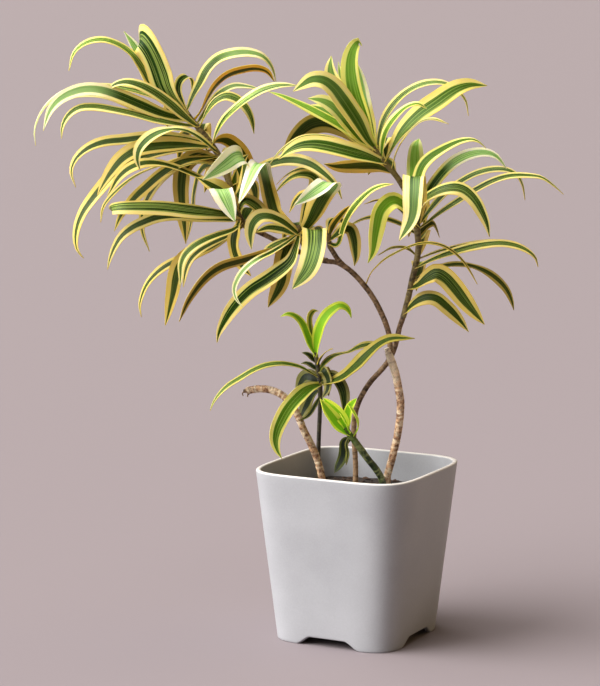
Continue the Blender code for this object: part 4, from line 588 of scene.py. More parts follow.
def joined(pieces):
    """Several meshes made one piece."""
    alone(pieces[0])
    for piece in pieces:
        piece.select_set(True)
    bpy.ops.object.join()
    return bpy.context.object


def coated(piece, surfaces, index=0):
    """Gives a piece its surfaces, all its faces wearing the one at index."""
    for made in surfaces:
        piece.data.materials.append(made)
    for face in piece.data.polygons:
        face.material_index = index
    return piece


def dressed(name, piece, slot, *nodes):
    """Gives a finished piece its name and the root body, and hides the CAD nodes it stands for. The slot
    argument is not used.
    """
    piece.name = piece.data.name = name
    if nodes:
        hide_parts(*nodes)
    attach(piece, "root")


# ---- material helpers ------------------------------------------------------------------

def linear(text):
    """Linear colour of an sRGB hex value."""
    parts = [int(text[i:i + 2], 16) / 255 for i in (1, 3, 5)]
    return (*[c / 12.92 if c <= 0.04045 else ((c + 0.055) / 1.055) ** 2.4 for c in parts], 1.0)


def surface(name):
    """A new material, its node tree and its shader."""
    made = bpy.data.materials.new(name)
    made.use_nodes = True
    return made, made.node_tree, made.node_tree.nodes["Principled BSDF"]


def fill(tree, node, inputs):
    """Sets a node's inputs, by name or in order, to values, or links them to other nodes."""
    for socket, value in inputs.items() if isinstance(inputs, dict) else enumerate(inputs):
        if isinstance(value, bpy.types.Node):
            value = value.outputs[2 if value.bl_idname == "ShaderNodeMix" else 0]
        if isinstance(value, bpy.types.NodeSocket):
            tree.links.new(value, node.inputs[socket])
        else:
            node.inputs[socket].default_value = value


def add(tree, kind, inputs=(), stops=(), **settings):
    """Adds a node with its settings, its ramp stops, and its input values or links."""
    made = tree.nodes.new("ShaderNode" + kind)
    for setting, value in settings.items():
        setattr(made, setting, value)
    for k, (at, colour) in enumerate(stops):
        stop = made.color_ramp.elements[k]
        stop.position, stop.color = at, linear(colour)
    fill(tree, made, inputs)
    return made


# ---- leaf surfaces ---------------------------------------------------------------------

def leaf_surface(name, roughness, dark, mid, pale_line, warm_green, lime_green,
                 edge, cream, inner_margin, warm_margin, lime_margin):
    """Waxy leaf blade: green down the middle in streaks that follow the veins, a cream margin
    on either side. The point attribute leaf_tone holds the leaf's own chance, how golden it is
    (partly an old leaf's yellowing, partly painted glow of light shining through a shaded blade),
    how young and lime it is, and how much painted sheen it has (below a half: how much painted shade)."""
    made, tree, shader = surface(name)
    uv = add(tree, "UVMap", uv_map="UVMap")
    across, down = add(tree, "SeparateXYZ", [uv]).outputs[:2]
    leaf_tone = add(tree, "Attribute", attribute_name="leaf_tone")
    chance, golden, young = add(tree, "SeparateXYZ", [leaf_tone.outputs["Vector"]]).outputs
    pale = leaf_tone.outputs["Alpha"]
    many = add(tree, "Math", [chance, 13.7], operation="MULTIPLY")
    own = add(tree, "Math", [many], operation="FRACT")

    streaks = []
    for across_count, down_count, shift, detail in (BROAD_STREAKS, FINE_STREAKS, VEINS, HAIR_LINES):
        moved = add(tree, "VectorMath", {0: (shift, 11.0, 7.0), "Scale": chance}, operation="SCALE")
        place = add(tree, "VectorMath", [uv, (across_count, down_count, 1.0), moved],
                    operation="MULTIPLY_ADD")
        streaks.append(add(tree, "TexNoise", {"Vector": place, "Scale": 1.0, "Detail": detail,
                                              "Roughness": 0.55}))
    broad, fine, veins, stripe = streaks

    # The green ends at about half of the half width and narrows towards the tip, a little off
    # the middle and by another amount on each leaf, with a streaky edge
    off_middle = add(tree, "Math", [chance, 0.16, -0.58], operation="MULTIPLY_ADD")
    off_middle = add(tree, "Math", [across, off_middle], operation="ADD")
    off_middle = add(tree, "Math", [off_middle], operation="ABSOLUTE")
    to_tip = add(tree, "Math", [down, 2.0], operation="POWER")
    inside = add(tree, "Math", [own, 0.16, 0.31], operation="MULTIPLY_ADD")
    for sway, amount in ((to_tip, -0.22), (broad, 0.34), (fine, 0.16), (golden, -0.14), (off_middle, -2.0)):
        inside = add(tree, "Math", [sway, amount, inside], operation="MULTIPLY_ADD")
    green_share = add(tree, "MapRange", [inside, -0.025, 0.035], interpolation_type="SMOOTHSTEP")
    near_green = add(tree, "MapRange", [inside, -0.17, -0.01])
    by_green = add(tree, "MapRange", [inside, -0.17, -0.01, 0.0, 0.75])

    # Pale hair lines run through the green, on some leaves more than on others
    off_line = add(tree, "Math", [stripe, 0.5], operation="SUBTRACT")
    off_line = add(tree, "Math", [off_line], operation="ABSOLUTE")
    line = add(tree, "MapRange", [off_line, 0.075, 0.02], interpolation_type="SMOOTHSTEP")
    for sway, amount, base in ((fine, 1.6, -0.36), (own, 0.9, 0.35)):
        strength = add(tree, "Math", [sway, amount, base], operation="MULTIPLY_ADD")
        line = add(tree, "Math", [line, strength], operation="MULTIPLY")

    # Streaks of two greens, and of two creams
    streaky = add(tree, "Math", [broad, 0.45], operation="MULTIPLY")
    streaky = add(tree, "Math", [fine, 0.55, streaky], operation="MULTIPLY_ADD")
    light_green = add(tree, "MapRange", [streaky, 0.38, 0.62])
    light_cream = add(tree, "MapRange", [veins, 0.35, 0.65])

    # The very edge is painted golden, a painted glow of light shining through the thin margin
    side = add(tree, "Math", [across, 2.0, -1.0], operation="MULTIPLY_ADD")
    side = add(tree, "Math", [side], operation="ABSOLUTE")
    rim = add(tree, "MapRange", [side, 0.80, 1.0, 0.0, 0.5])

    # Painted sheen: where a leaf is given it, the outer part of its blade, which folds over to face the
    # sky, is painted mint-white as the sky's reflection, with green hair lines left showing through
    painted_sheen = add(tree, "MapRange", [pale, 0.5, 1.0])
    outer = add(tree, "MapRange", [down, 0.43, 0.58], interpolation_type="SMOOTHSTEP")
    painted_sheen = add(tree, "Math", [painted_sheen, outer], operation="MULTIPLY")
    # Painted shade: leaves that sit in the crowns' shade are painted darker, towards black green
    painted_shade = add(tree, "MapRange", [pale, 0.5, 0.0])
    hair = add(tree, "MapRange", [fine, 0.50, 0.58, 0.0, 0.85])
    hair = add(tree, "Math", [line, hair], operation="MAXIMUM")
    hair = add(tree, "Math", [hair, painted_sheen], operation="MULTIPLY")
    margin_hair = add(tree, "Math", [hair, near_green], operation="MULTIPLY")

    # The golden layers are partly an old leaf's yellowing and partly painted glow of light shining through
    # shaded blades
    green, margin = linear(dark), linear(edge)
    # The pale mint layers are painted sheen, the near-black layers painted shade
    for share, shade in ((light_green, mid), (line, pale_line), (golden, warm_green), (painted_sheen, "#B2D684"),
                         (hair, "#3F7A2C"), (painted_shade, "#0A1405"), (young, lime_green)):
        green = add(tree, "Mix", {0: share, 6: green, 7: linear(shade)}, data_type="RGBA")
    for share, shade in ((light_cream, cream), (by_green, inner_margin), (rim, warm_margin),
                         (golden, warm_margin), (painted_sheen, "#EFEED2"), (margin_hair, "#8FB870"),
                         (painted_shade, "#39400F"), (young, lime_margin)):
        margin = add(tree, "Mix", {0: share, 6: margin, 7: linear(shade)}, data_type="RGBA")
    colour = add(tree, "Mix", {0: green_share, 6: margin, 7: green}, data_type="RGBA")
    # The last few millimetres dry to tan
    tip = add(tree, "MapRange", [down, 0.975, 1.0, 0.0, 0.45])
    colour = add(tree, "Mix", {0: tip, 6: colour, 7: linear("#8C6A3C")}, data_type="RGBA")
    rough = add(tree, "MapRange", [veins, 0.3, 0.7, roughness - 0.05, roughness + 0.08])
    relief = add(tree, "Math", [veins, fine], operation="ADD")
    bump = add(tree, "Bump", {"Height": relief, "Strength": 0.35, "Distance": 0.0003})
    # Some of the window light comes through the thin blade
    fill(tree, shader, {"Base Color": colour, "Roughness": rough, "Normal": bump, "IOR": 1.45,
                        "Specular IOR Level": 0.14, "Subsurface Weight": 0.65,
                        "Subsurface Radius": (0.9, 1.0, 0.35), "Subsurface Scale": 0.0009})
    return made


# Upper face: waxy, so it takes a broad pale sheen; deep green centre and cream margins
leaf_upper = leaf_surface(
    "waxy_leaf_upper_face", 0.42, dark="#061A00", mid="#1C4803", pale_line="#C2DA6C",
    warm_green="#3C4C04", lime_green="#90CC26", edge="#E2CE70", cream="#EADFA4",
    inner_margin="#D2DA72", warm_margin="#E4C24C", lime_margin="#DEF050")
# Under face: duller, with a greyer green, and golden margins that are partly painted glow of light shining
# through the blade
leaf_under = leaf_surface(
    "waxy_leaf_under_face", 0.52, dark="#172E04", mid="#35520E", pale_line="#A2AC50",
    warm_green="#50560E", lime_green="#6CA41C", edge="#E6C85E", cream="#F0E090",
    inner_margin="#CDBC50", warm_margin="#F2C850", lime_margin="#C6DE40")


# ---- bark, planter and soil surfaces ---------------------------------------------------

def bark_surface(name, low, high, scar, speck, pale, pale_from, pale_to, roughness):
    """Corky cane bark: mottled in patches of a few millimetres, with a ring at each old leaf's
    place, and a pale band between two heights. The point attribute bark holds how near a ring is."""
    made, tree, shader = surface(name)
    place = add(tree, "TexCoord").outputs["Object"]
    height = add(tree, "SeparateXYZ", [place]).outputs["Z"]
    near_ring = add(tree, "Attribute", attribute_name="bark").outputs["Fac"]
    mottle = add(tree, "TexNoise", {"Vector": place, "Scale": CORK_MOTTLING, "Detail": 4.0,
                                    "Roughness": 0.6})
    grain = add(tree, "TexNoise", {"Vector": place, "Scale": CORK_GRAIN, "Detail": 3.0})
    patch = add(tree, "TexNoise", {"Vector": place, "Scale": CORK_PATCHES, "Detail": 2.0})
    pores = add(tree, "TexVoronoi", {"Vector": place, "Scale": CORK_PORES})
    bare = add(tree, "MapRange", [patch, 0.50, 0.62, 0.0, 0.6])
    dots = add(tree, "MapRange", [pores, 0.16, 0.30, 0.65, 0.0])
    ring = add(tree, "Math", [near_ring, 0.75], operation="MULTIPLY")
    # A pale band between two heights; on the old cane it is painted lighter than its own cream, as painted
    # light in the crowns' shade
    pale_band = add(tree, "MapRange", [height, pale_from, pale_to, 0.0, 0.75])
    crack = add(tree, "Math", [near_ring, pale_band], operation="MULTIPLY")
    colour = add(tree, "ValToRGB", [mottle], [(0.40, low), (0.58, high)])
    for share, shade in ((bare, scar), (dots, speck), (ring, scar), (pale_band, pale), (crack, low)):
        colour = add(tree, "Mix", {0: share, 6: colour, 7: linear(shade)}, data_type="RGBA")
    shade = add(tree, "MapRange", [grain, 0.3, 0.7, 0.82, 1.12])
    colour = add(tree, "Mix", {0: 1.0, 6: colour, 7: shade}, data_type="RGBA", blend_type="MULTIPLY")
    bump = add(tree, "Bump", {"Height": grain, "Strength": 0.6, "Distance": 0.0004})
    bump = add(tree, "Bump", {"Height": mottle, "Strength": 0.6, "Distance": 0.0008, "Normal": bump})
    fill(tree, shader, {"Base Color": colour, "Normal": bump, "Roughness": roughness})
    return made


# Old cane: tan cork with dark pores, matt; its own cream band near the top is painted near white, painted
# light that makes up for the crowns' shade on it
old_bark = bark_surface("weathered_old_cane_bark", "#6A412A", "#C79F78", "#EAD9BA", "#38200F",
                        "#FFF2D6", 0.262, 0.292, 0.78)
# Brown cane: darker and smoother, greyer near the mix, with a slight sheen
brown_bark = bark_surface("brown_cane_bark", "#33220F", "#7A5C3C", "#A08462", "#1A1008",
                          "#B08F6C", 0.225, 0.200, 0.66)
# Leafy stem: olive brown and still smooth
crown_bark = bark_surface("leafy_stem_skin", "#3E3219", "#6E5E34", "#8A7A46", "#262010",
                          "#5E4032", 0.8, 0.9, 0.62)
# Young shoot: a dark, nearly black stem with a satin skin
dark_bark = bark_surface("dark_young_stem_skin", "#1C1A12", "#38331F", "#4B4630", "#12100B",
                         "#2A2A1A", 0.8, 0.9, 0.50)
# Sprout: dark green skin that turns fresh green upwards, the smoothest of all
green_bark = bark_surface("green_sprout_skin", "#111A09", "#2A3A14", "#8E9460", "#0B1006",
                          "#55701E", 0.196, 0.215, 0.48)


def glaze_surface():
    """Stoneware in a satin grey glaze: even, with faint cloudiness, a fine tooth and a painted highlight
    along the rim.
    """
    made, tree, shader = surface("satin_grey_glazed_stoneware")
    place = add(tree, "TexCoord").outputs["Object"]
    height = add(tree, "SeparateXYZ", [place]).outputs["Z"]
    cloud = add(tree, "TexNoise", {"Vector": place, "Scale": GLAZE_CLOUDS, "Detail": 3.0, "Roughness": 0.5})
    tooth = add(tree, "TexNoise", {"Vector": place, "Scale": GLAZE_TOOTH, "Detail": 3.0})
    base = add(tree, "ValToRGB", [cloud], [(0.30, "#999BA0"), (0.70, "#A3A5AA")])
    speck = add(tree, "MapRange", [tooth, 0.30, 0.70, 0.96, 1.03])
    colour = add(tree, "Mix", {0: 1.0, 6: base, 7: speck}, data_type="RGBA", blend_type="MULTIPLY")
    # Painted highlight: a narrow band at the top of the rim is painted near white, where the light catches
    # it
    rim = add(tree, "MapRange", [height, POT_HEIGHT - 0.0016, POT_HEIGHT - 0.0002, 0.0, 0.7])
    colour = add(tree, "Mix", {0: rim, 6: colour, 7: linear("#E9E4DC")}, data_type="RGBA")
    rough = add(tree, "MapRange", [cloud, 0.3, 0.7, 0.36, 0.48])
    bump = add(tree, "Bump", {"Height": cloud, "Strength": 0.25, "Distance": 0.004})
    bump = add(tree, "Bump", {"Height": tooth, "Strength": 0.10, "Distance": 0.0003, "Normal": bump})
    fill(tree, shader, {"Base Color": colour, "Roughness": rough, "Normal": bump, "IOR": 1.5})
    return made


def soil_surface(name, low, high, roughness):
    """Potting mix: nearly black, darker in the hollows of its clods, with brown fibre."""
    made, tree, shader = surface(name)
    place = add(tree, "TexCoord").outputs["Object"]
    clods = add(tree, "TexNoise", {"Vector": place, "Scale": SOIL_CLODS, "Detail": 6.0, "Roughness": 0.7})
    grit = add(tree, "TexNoise", {"Vector": place, "Scale": SOIL_GRIT, "Detail": 3.0})
    colour = add(tree, "ValToRGB", [clods], [(0.38, low), (0.66, high)])
    bump = add(tree, "Bump", {"Height": clods, "Strength": 0.9, "Distance": 0.0012})
    bump = add(tree, "Bump", {"Height": grit, "Strength": 0.8, "Distance": 0.0005, "Normal": bump})
    fill(tree, shader, {"Base Color": colour, "Normal": bump, "Roughness": roughness})
    return made


glaze = glaze_surface()
# The mix is damp and almost black; the crumbs on it are drier and browner
earth = soil_surface("damp_potting_mix", "#140E0A", "#35261B", 0.92)
crumb_bark = soil_surface("bark_and_fibre_crumbs", "#2A1B12", "#5A4230", 0.88)


# ---- planter ---------------------------------------------------------------------------

def outline(points):
    """Rounded square of half side 1, its points spaced evenly, starting mid-side."""
    loop = []
    for k in range(4 * points + 1):
        angle = 2 * math.pi * k / (4 * points)
        x, y = (math.copysign(abs(c) ** (2 / CORNER_POWER), c) for c in (math.cos(angle), math.sin(angle)))
        loop.append(Vector((x, y, 0.0)))
    return along(loop, [k / points for k in range(points)])


def pot_half(height):
    """Half the planter's outer side at a height."""
    return (POT_BASE_SIDE + (POT_RIM_SIDE - POT_BASE_SIDE) * height / POT_HEIGHT) / 2


def arch_height(x, y):
    """Height of the planter's lower edge where it stands on its four corner feet."""
    beside = min(abs(x), abs(y))
    share = (FOOT_ARCH_HALF_WIDTH - beside) / (FOOT_ARCH_HALF_WIDTH - FOOT_ARCH_FLAT_HALF)
    return FOOT_ARCH_HEIGHT * eased(share)


def quarter(steps):
    """How far a rounded edge has gone in and up, in even steps of a quarter turn."""
    turns = [math.radians(90 * k / steps) for k in range(steps + 1)]
    return [(1 - math.cos(turn), 1 - math.sin(turn)) for turn in turns]


def planter():
    """The planter's wall, rim, floor and feet in one shell."""
    loop = outline(OUTLINE_POINTS)
    wall, top, foot, rim = POT_WALL, POT_HEIGHT, FOOT_ROUND, RIM_ROUND
    # Each row: how far in from the outer face, height, and how much of the arch lifts it
    rows = [(wall + UNDERSIDE_ROUND, POT_FLOOR_UNDERSIDE, 0.0),
            (wall, POT_FLOOR_UNDERSIDE - UNDERSIDE_ROUND, 0.0),
            (wall, FOOT_INSIDE_HEIGHT, FOOT_INSIDE_LIFT), (wall, foot, 1.0)]
    rows += [(wall - foot * a, foot * b, 1.0) for a, b in quarter(4)]
    rows += [(foot * b, foot * a, 1.0) for a, b in quarter(4)]
    for k in range(1, WALL_ROWS + 1):
        height = foot + (top - rim - foot) * (k / WALL_ROWS) ** ROWS_CROWD_DOWN
        rows.append((0.0, height, max(0.0, 1.0 - height / ARCH_FADE)))
    rows += [(rim * a, top - rim * b, 0.0) for a, b in quarter(5)[1:]]
    rows += [(wall - rim * b, top - rim * a, 0.0) for a, b in quarter(5)]
    inside = top - POT_FLOOR_TOP - 2 * FLOOR_ROUND
    rows += [(wall, top - FLOOR_ROUND - inside * k / 12, 0.0) for k in range(1, 13)]
    rows.append((wall + FLOOR_ROUND, POT_FLOOR_TOP, 0.0))

    def place(column, row):
        inset, height, lifted = rows[row]
        outer = loop[column] * pot_half(height)
        z = height + arch_height(outer.x, outer.y) * lifted
        # A cast wall is never quite flat
        uneven = CAST_UNEVEN * noise.noise(Vector((outer.x, outer.y, z)) * CAST_WAVES)
        spot = loop[column] * (pot_half(z) - inset + uneven) + POT_PLACE
        return Vector((spot.x, spot.y, z))

    piece = closed(rolled(OUTLINE_POINTS, len(rows) - 1, place), 50)
    dressed("planter", coated(piece, [glaze]), "pot", "pot")


# ---- soil ------------------------------------------------------------------------------

def soil_height(x, y):
    """Lumpy top of the potting mix, a little higher in the middle."""
    from_middle = math.hypot(x - POT_PLACE.x, y - POT_PLACE.y) / SOIL_HALF
    lumps = noise.fractal(Vector((x * LUMPS_PER_METRE, y * LUMPS_PER_METRE, 3.1)), 1.0, 2.1, 5)
    grain = noise.noise(Vector((x * GRAINS_PER_METRE, y * GRAINS_PER_METRE, 9.7)))
    mound = SOIL_CROWN * (1 - from_middle ** 2) - SOIL_SINK
    return SOIL_TOP + mound + LUMP_HEIGHT * lumps + GRAIN_HEIGHT * grain


def soil_bed():
    """The mix: a block down to the planter's floor, its top in rings that close in the middle."""
    loop = outline(SOIL_POINTS)
    low = POT_FLOOR_TOP + SEAT

    def place(column, row):
        if row < 3:
            height = low + (SOIL_TOP - SOIL_EDGE_DROP - low) * row / 2
            spot = loop[column] * (pot_half(height) - POT_WALL - SEAT - SOIL_GAP_BELOW) + POT_PLACE
            return Vector((spot.x, spot.y, height))
        share = max(1 - (row - 3) / SOIL_RINGS, 0.004)
        edge = pot_half(SOIL_TOP) - POT_WALL - SEAT - SOIL_GAP_AT_TOP
        spot = loop[column] * (edge * share) + POT_PLACE
        return Vector((spot.x, spot.y, soil_height(spot.x, spot.y)))

    piece = closed(rolled(SOIL_POINTS, SOIL_RINGS + 3, place), 60)
    dressed("potting_mix", coated(piece, [earth]), "soil", "soil")


def crumbs():
    """Bits of bark and fibre lying on the mix: one rough lump, copied, stretched and turned."""
    chance = random.Random(41)
    bpy.ops.object.select_all(action="DESELECT")
    bpy.ops.mesh.primitive_ico_sphere_add(subdivisions=2, radius=1.0)
    lump = to_copy(bpy.context.object)
    pieces = []
    for _ in range(CRUMBS):
        x, y = (middle + chance.uniform(-CRUMB_HALF, CRUMB_HALF) for middle in POT_PLACE.xy)
        reach = sum(abs((c - middle) / CRUMB_FIELD) ** 5 for c, middle in zip((x, y), POT_PLACE)) ** 0.2
        if reach > 0.97:
            continue
        size = chance.choice(CRUMB_SIZES)
        stretch = Vector([chance.uniform(*limits) for limits in CRUMB_STRETCH]) * size
        turn = Matrix.Rotation(chance.uniform(0, math.tau), 3, "Z")
        turn = turn @ Matrix.Rotation(chance.uniform(-0.5, 0.5), 3, "X")
        shift = Vector((chance.uniform(0, 50), chance.uniform(0, 50), 0))
        centre = Vector((x, y, soil_height(x, y) + stretch.z * 0.35))
        crumb = placed("crumb", lump.copy())
        for vert in crumb.data.vertices:
            rough = 1.0 + CRUMB_ROUGHNESS * noise.noise(vert.co * 1.6 + shift)
            vert.co = centre + turn @ (vert.co * stretch) * rough
        pieces.append(crumb)
    piece = smoothed(joined(pieces), 35)
    dressed("soil_crumbs", coated(piece, [crumb_bark]), "soil")


# ---- canes -----------------------------------------------------------------------------

def cane_end(path):
    """Where a cane's short straight end begins, and which way it points."""
    curve = smooth([seen(*mark) for mark in path])
    return curve[-1], (curve[-1] - curve[-2]).normalized()


def branch_points(path):
    """A cane's marks and its short straight end."""
    end, way = cane_end(path)
    return [seen(*mark) for mark in path] + [end + way * STRAIGHT_END]


def planted(path):
    """The same for a cane that stands upright in the mix, under its first mark."""
    first = seen(*path[0])
    rises = (-STEM_DEPTH, -UPRIGHT_FROM, UPRIGHT_TO)
    return [Vector((first.x, first.y, SOIL_TOP + rise)) for rise in rises] + branch_points(path)


def carried_on(stem_path, cane_path):
    """A leafy stem's points, starting square to the end of its cane and just clear of it."""
    end, way = cane_end(cane_path)
    start = end + way * (STRAIGHT_END + SEAT)
    return [start, start + way * STRAIGHT_END] + [seen(*mark) for mark in stem_path]


def cane_piece(points, radius, taper, spacing, ridge, seed, neck=None):
    """A ringed stem along its points: a raised, slightly tilted ring at each old leaf's place,
    and low lumps between. With a neck, the end draws in to that share of the radius. The
    attribute bark is 1 on a ring."""
    chance = random.Random(seed)
    curve = smooth(points, 14)
    length = sum((b - a).length for a, b in zip(curve, curve[1:]))
    rows = max(8, round(length / ROW_STEP))
    centres = along(curve, [k / rows for k in range(rows + 1)])
    rings = []
    at = chance.uniform(0.2, 1.0) * spacing
    while at < length:
        rings.append((at, chance.uniform(0, math.tau), chance.uniform(0.2, 2.0), chance.uniform(0.4, 1.4)))
        at += spacing * chance.uniform(0.4, 1.8)
    tangents = [(centres[min(k + 1, rows)] - centres[max(k - 1, 0)]).normalized() for k in range(rows + 1)]
    sides = [(centres[1] - centres[0]).orthogonal().normalized()]
    for tangent in tangents:
        sides.append((sides[-1] - tangent * sides[-1].dot(tangent)).normalized())
    nearness = []

    def place(column, row):
        angle = column / SIDES * math.tau
        distance = length * row / rows
        near, swell = 0.0, 0.0
        for at, phase, tilt, height in rings:
            away = distance - at - RING_TILT * tilt * math.sin(angle + phase)
            if abs(away) < RING_REACH:
                broken = noise.noise(Vector((math.cos(angle) * 1.2, math.sin(angle) * 1.2, phase * 5)))
                broken = min(max(0.75 + broken, 0.0), 1.2)
                peak = math.exp(-(away / RING_WIDTH) ** 2) * broken
                groove = math.exp(-((away - GROOVE_BEYOND) / GROOVE_WIDTH) ** 2)
                near = max(near, math.exp(-(away / RING_STAIN_WIDTH) ** 2) * broken * height)
                swell += (peak - 0.5 * groove) * height * ridge
        nearness.append(min(near, 1.0))
        side, tangent = sides[row + 1], tangents[row]
        outward = side * math.cos(angle) + tangent.cross(side) * math.sin(angle)
        spot = centres[row] + outward * radius
        lump = sum(noise.noise(spot * size) * share for size, share in CANE_LUMPS)
        end = END_SHARE if row == rows else 1.0
        if neck:
            end = 1.0 - (1.0 - neck) * eased(1.0 - (length - distance) / NECK_LENGTH)
        reach = radius * (1.0 + (taper - 1.0) * row / rows) * (1.0 + lump) * end + swell
        return centres[row] + outward * reach

    piece = rolled(SIDES, rows, place)
    layer = piece.data.attributes.new("bark", "FLOAT", "POINT")
    layer.data.foreach_set("value", nearness)
    return closed(piece, 50)


def stub_cane():
    """The old cane that was cut: its end is broken, with a splinter, a twig's stub and the pith."""
    end, way = cane_end(STUB_CANE)

    def off_end(*steps):
        return [end + way * out - Vector((0.0, 0.0, down)) for out, down in steps]

    whole = cane_piece(planted(STUB_CANE), CANE_RADIUS["stub_cane"], 1.0, 0.0056, 0.00030, 10)
    pieces = [coated(whole, [old_bark, brown_bark])]
    for points, radius, taper, seed in (
            (off_end((0.0008, 0.0), (0.0042, 0.0004), (0.0060, 0.0024), (0.0052, 0.0050)), 0.0011, 0.4, 14),
            (off_end((-0.003, 0.0020), (0.0002, 0.0046), (0.0004, 0.0068)), 0.0012, 0.5, 15),
            (off_end((0.0, 0.0), (0.0036, 0.0), (0.0048, 0.0)), 0.0026, 0.72, 16)):
        broken = cane_piece(points, radius, taper, 0.02, 0.0, seed)
        pieces.append(coated(broken, [old_bark, brown_bark], 1))
    dressed("old_stub_cane", joined(pieces), "old_cane", "stub_cane")


# ---- leaves ----------------------------------------------------------------------------

blade_mesh = to_copy(grid_piece(BLADE_COLUMNS, BLADE_ROWS))


def blade_width(t, greatest):
    """Narrow clasping base, broadest before the middle, long taper to the tip."""
    rise = BASE_SHARE + (1 - BASE_SHARE) * eased(t / BROADEST_FROM)
    fall = 1.0 - max(0.0, (t - BROADEST_TO) / (1 - BROADEST_TO)) ** TIP_FULLNESS
    return max(greatest * rise * fall, BLADE_TIP_WIDTH)


def leaf_frames(curve, points, faces, stations):
    """Centre, side and face directions along a leaf."""
    centres = along(curve, stations)
    heading = points[-1] - points[0]
    heading.z = 0.0
    if heading.length < 0.004:
        heading = VIEWER - points[0]
        heading.z = 0.0
    heading.normalize()
    level_side = heading.cross(Vector((0.0, 0.0, 1.0)))
    turn_way = 1.0 if level_side.dot(VIEWER - points[len(points) // 2]) > 0 else -1.0
    frames = []
    last = len(centres) - 1
    for i, centre in enumerate(centres):
        tangent = (centres[min(i + 1, last)] - centres[max(i - 1, 0)]).normalized()
        side = (level_side - tangent * level_side.dot(tangent)).normalized()
        face = side.cross(tangent).normalized()
        turn = math.radians(between(faces, stations[i])) * turn_way
        frames.append((centre, side * math.cos(turn) - face * math.sin(turn),
                       face * math.cos(turn) + side * math.sin(turn)))
    return frames


def blade(leaf, stem, tone, chance):
    """One leaf: the flat blade bent along its own line, channelled, with a slightly wavy margin.
    It starts on its stem's centre line, where it has a stem."""
    width, faces, marks = leaf
    golden, young, pale = tone
    points = [seen(*mark) for mark in marks]
    if stem:
        points[0] = nearest_on(stem, points[0])
    stations = [k / BLADE_ROWS for k in range(BLADE_ROWS + 1)]
    frames = leaf_frames(smooth(points), points, faces, stations)
    waves = chance.uniform(2.0, 3.4)
    phase = chance.uniform(0, math.tau)
    mesh = blade_mesh.copy()
    for vert in mesh.vertices:
        across = vert.co.x
        row = round((vert.co.y + 1) / 2 * BLADE_ROWS)
        t = stations[row]
        centre, side, face = frames[row]
        channel = CHANNEL_TIP + (CHANNEL_BASE - CHANNEL_TIP) * (1 - t) ** 2.2
        # The last part of the base clasps the stem
        clasp = eased(1 - t / CLASP_LENGTH)
        half = blade_width(t, width * MM) / 2 * (1 - CLASP_NARROWING * clasp)
        wave = MARGIN_WAVE * math.sin(waves * math.tau * t + phase + (across > 0) * 1.9)
        lift = half * ((channel + CLASP_CUP * clasp) * abs(across) ** 1.5 + wave * abs(across) ** 3)
        vert.co = centre + side * (across * half) + face * lift
    layer = mesh.attributes.new("leaf_tone", "FLOAT_COLOR", "POINT")
    # The fourth value is the painted sheen above a half and the painted shade below it
    own_tone = (chance.random(), golden, young, 0.5 + pale / 2)
    layer.data.foreach_set("color", own_tone * len(mesh.vertices))
    return placed("blade", mesh)


def thickened(piece):
    """Gives blades their thickness, with the under face's surface below."""
    alone(piece)
    change = piece.modifiers.new("thickness", "SOLIDIFY")
    change.thickness = BLADE_THICK
    change.offset = 0.0
    change.material_offset = 1
    change.material_offset_rim = 0
    bpy.ops.object.modifier_apply(modifier=change.name)
    return piece


def crown(name, node, slot, cane_path, bark, radius, taper, seed, *stems):
    """A leafy stem: its ringed stem, any side stem, and all their leaves. Each stem is its path,
    its leaves and their tones; the first goes on from its cane."""
    chance = random.Random(seed)
    blades, wood = [], []
    for k, (path, leaves, tones) in enumerate(stems):
        points = [seen(*mark) for mark in path] if k else carried_on(path, cane_path)
        centre_line = smooth(points)
        for i, leaf in enumerate(leaves):
            blades.append(blade(leaf, centre_line, tones.get(i, tones["all"]), chance))
        thick, thin = (radius * taper, 0.85) if k else (radius, taper)
        wood.append(cane_piece(points, thick, thin, CROWN_RINGS, CROWN_RIDGE, seed + k))
    surfaces = [leaf_upper, leaf_under, bark]
    foliage = thickened(coated(joined(blades), surfaces))
    piece = joined([foliage, coated(joined(wood), surfaces, 2)])
    dressed(name, smoothed(piece, 60), slot, node)


# Each leaf's tone by its place in its list: how golden (partly painted glow of light through the blade),
# how young and lime, how much painted sheen (or painted shade, below 0)
LEFT_TONES = {
    "all": (0, 0, 0), 0: (0, 0, -0.2), 1: (0, 0, 0.9), 2: (0.1, 0.1, 0), 3: (0.1, 0, 0.5), 4: (0, 0, 0.4),
    6: (0.3, 0, 0.2), 8: (0, 0, 0.1), 9: (0.3, 0, -0.2), 10: (0, 0.05, 0.35), 12: (1.0, 0, 0),
    13: (0, 0, 0.1), 14: (0, 0, 0.3), 16: (0.7, 0, -0.1), 17: (0.45, 0, -0.18), 18: (0.4, 0, -0.15),
    19: (0.4, 0, -0.12), 20: (0.6, 0, -0.25), 21: (0.7, 0, -0.32), 22: (0.5, 0, -0.38),
    23: (0.6, 0, -0.2), 24: (0.6, 0, -0.38), 25: (0.6, 0, -0.4), 26: (0.12, 0, -0.15), 27: (0.3, 0, -0.3),
    28: (0, 0, 0.85), 29: (0.5, 0, 0), 30: (0.35, 0, -0.1), 31: (0.4, 0, 0), 32: (0.3, 0, -0.2),
    33: (0.65, 0, -0.15), 34: (0.1, 0, 0.1), 35: (0.35, 0, -0.2), 36: (0.6, 0, -0.18),
    37: (0.5, 0, -0.25), 38: (0.15, 0, 0.1), 45: (0, 0, 0.9)}
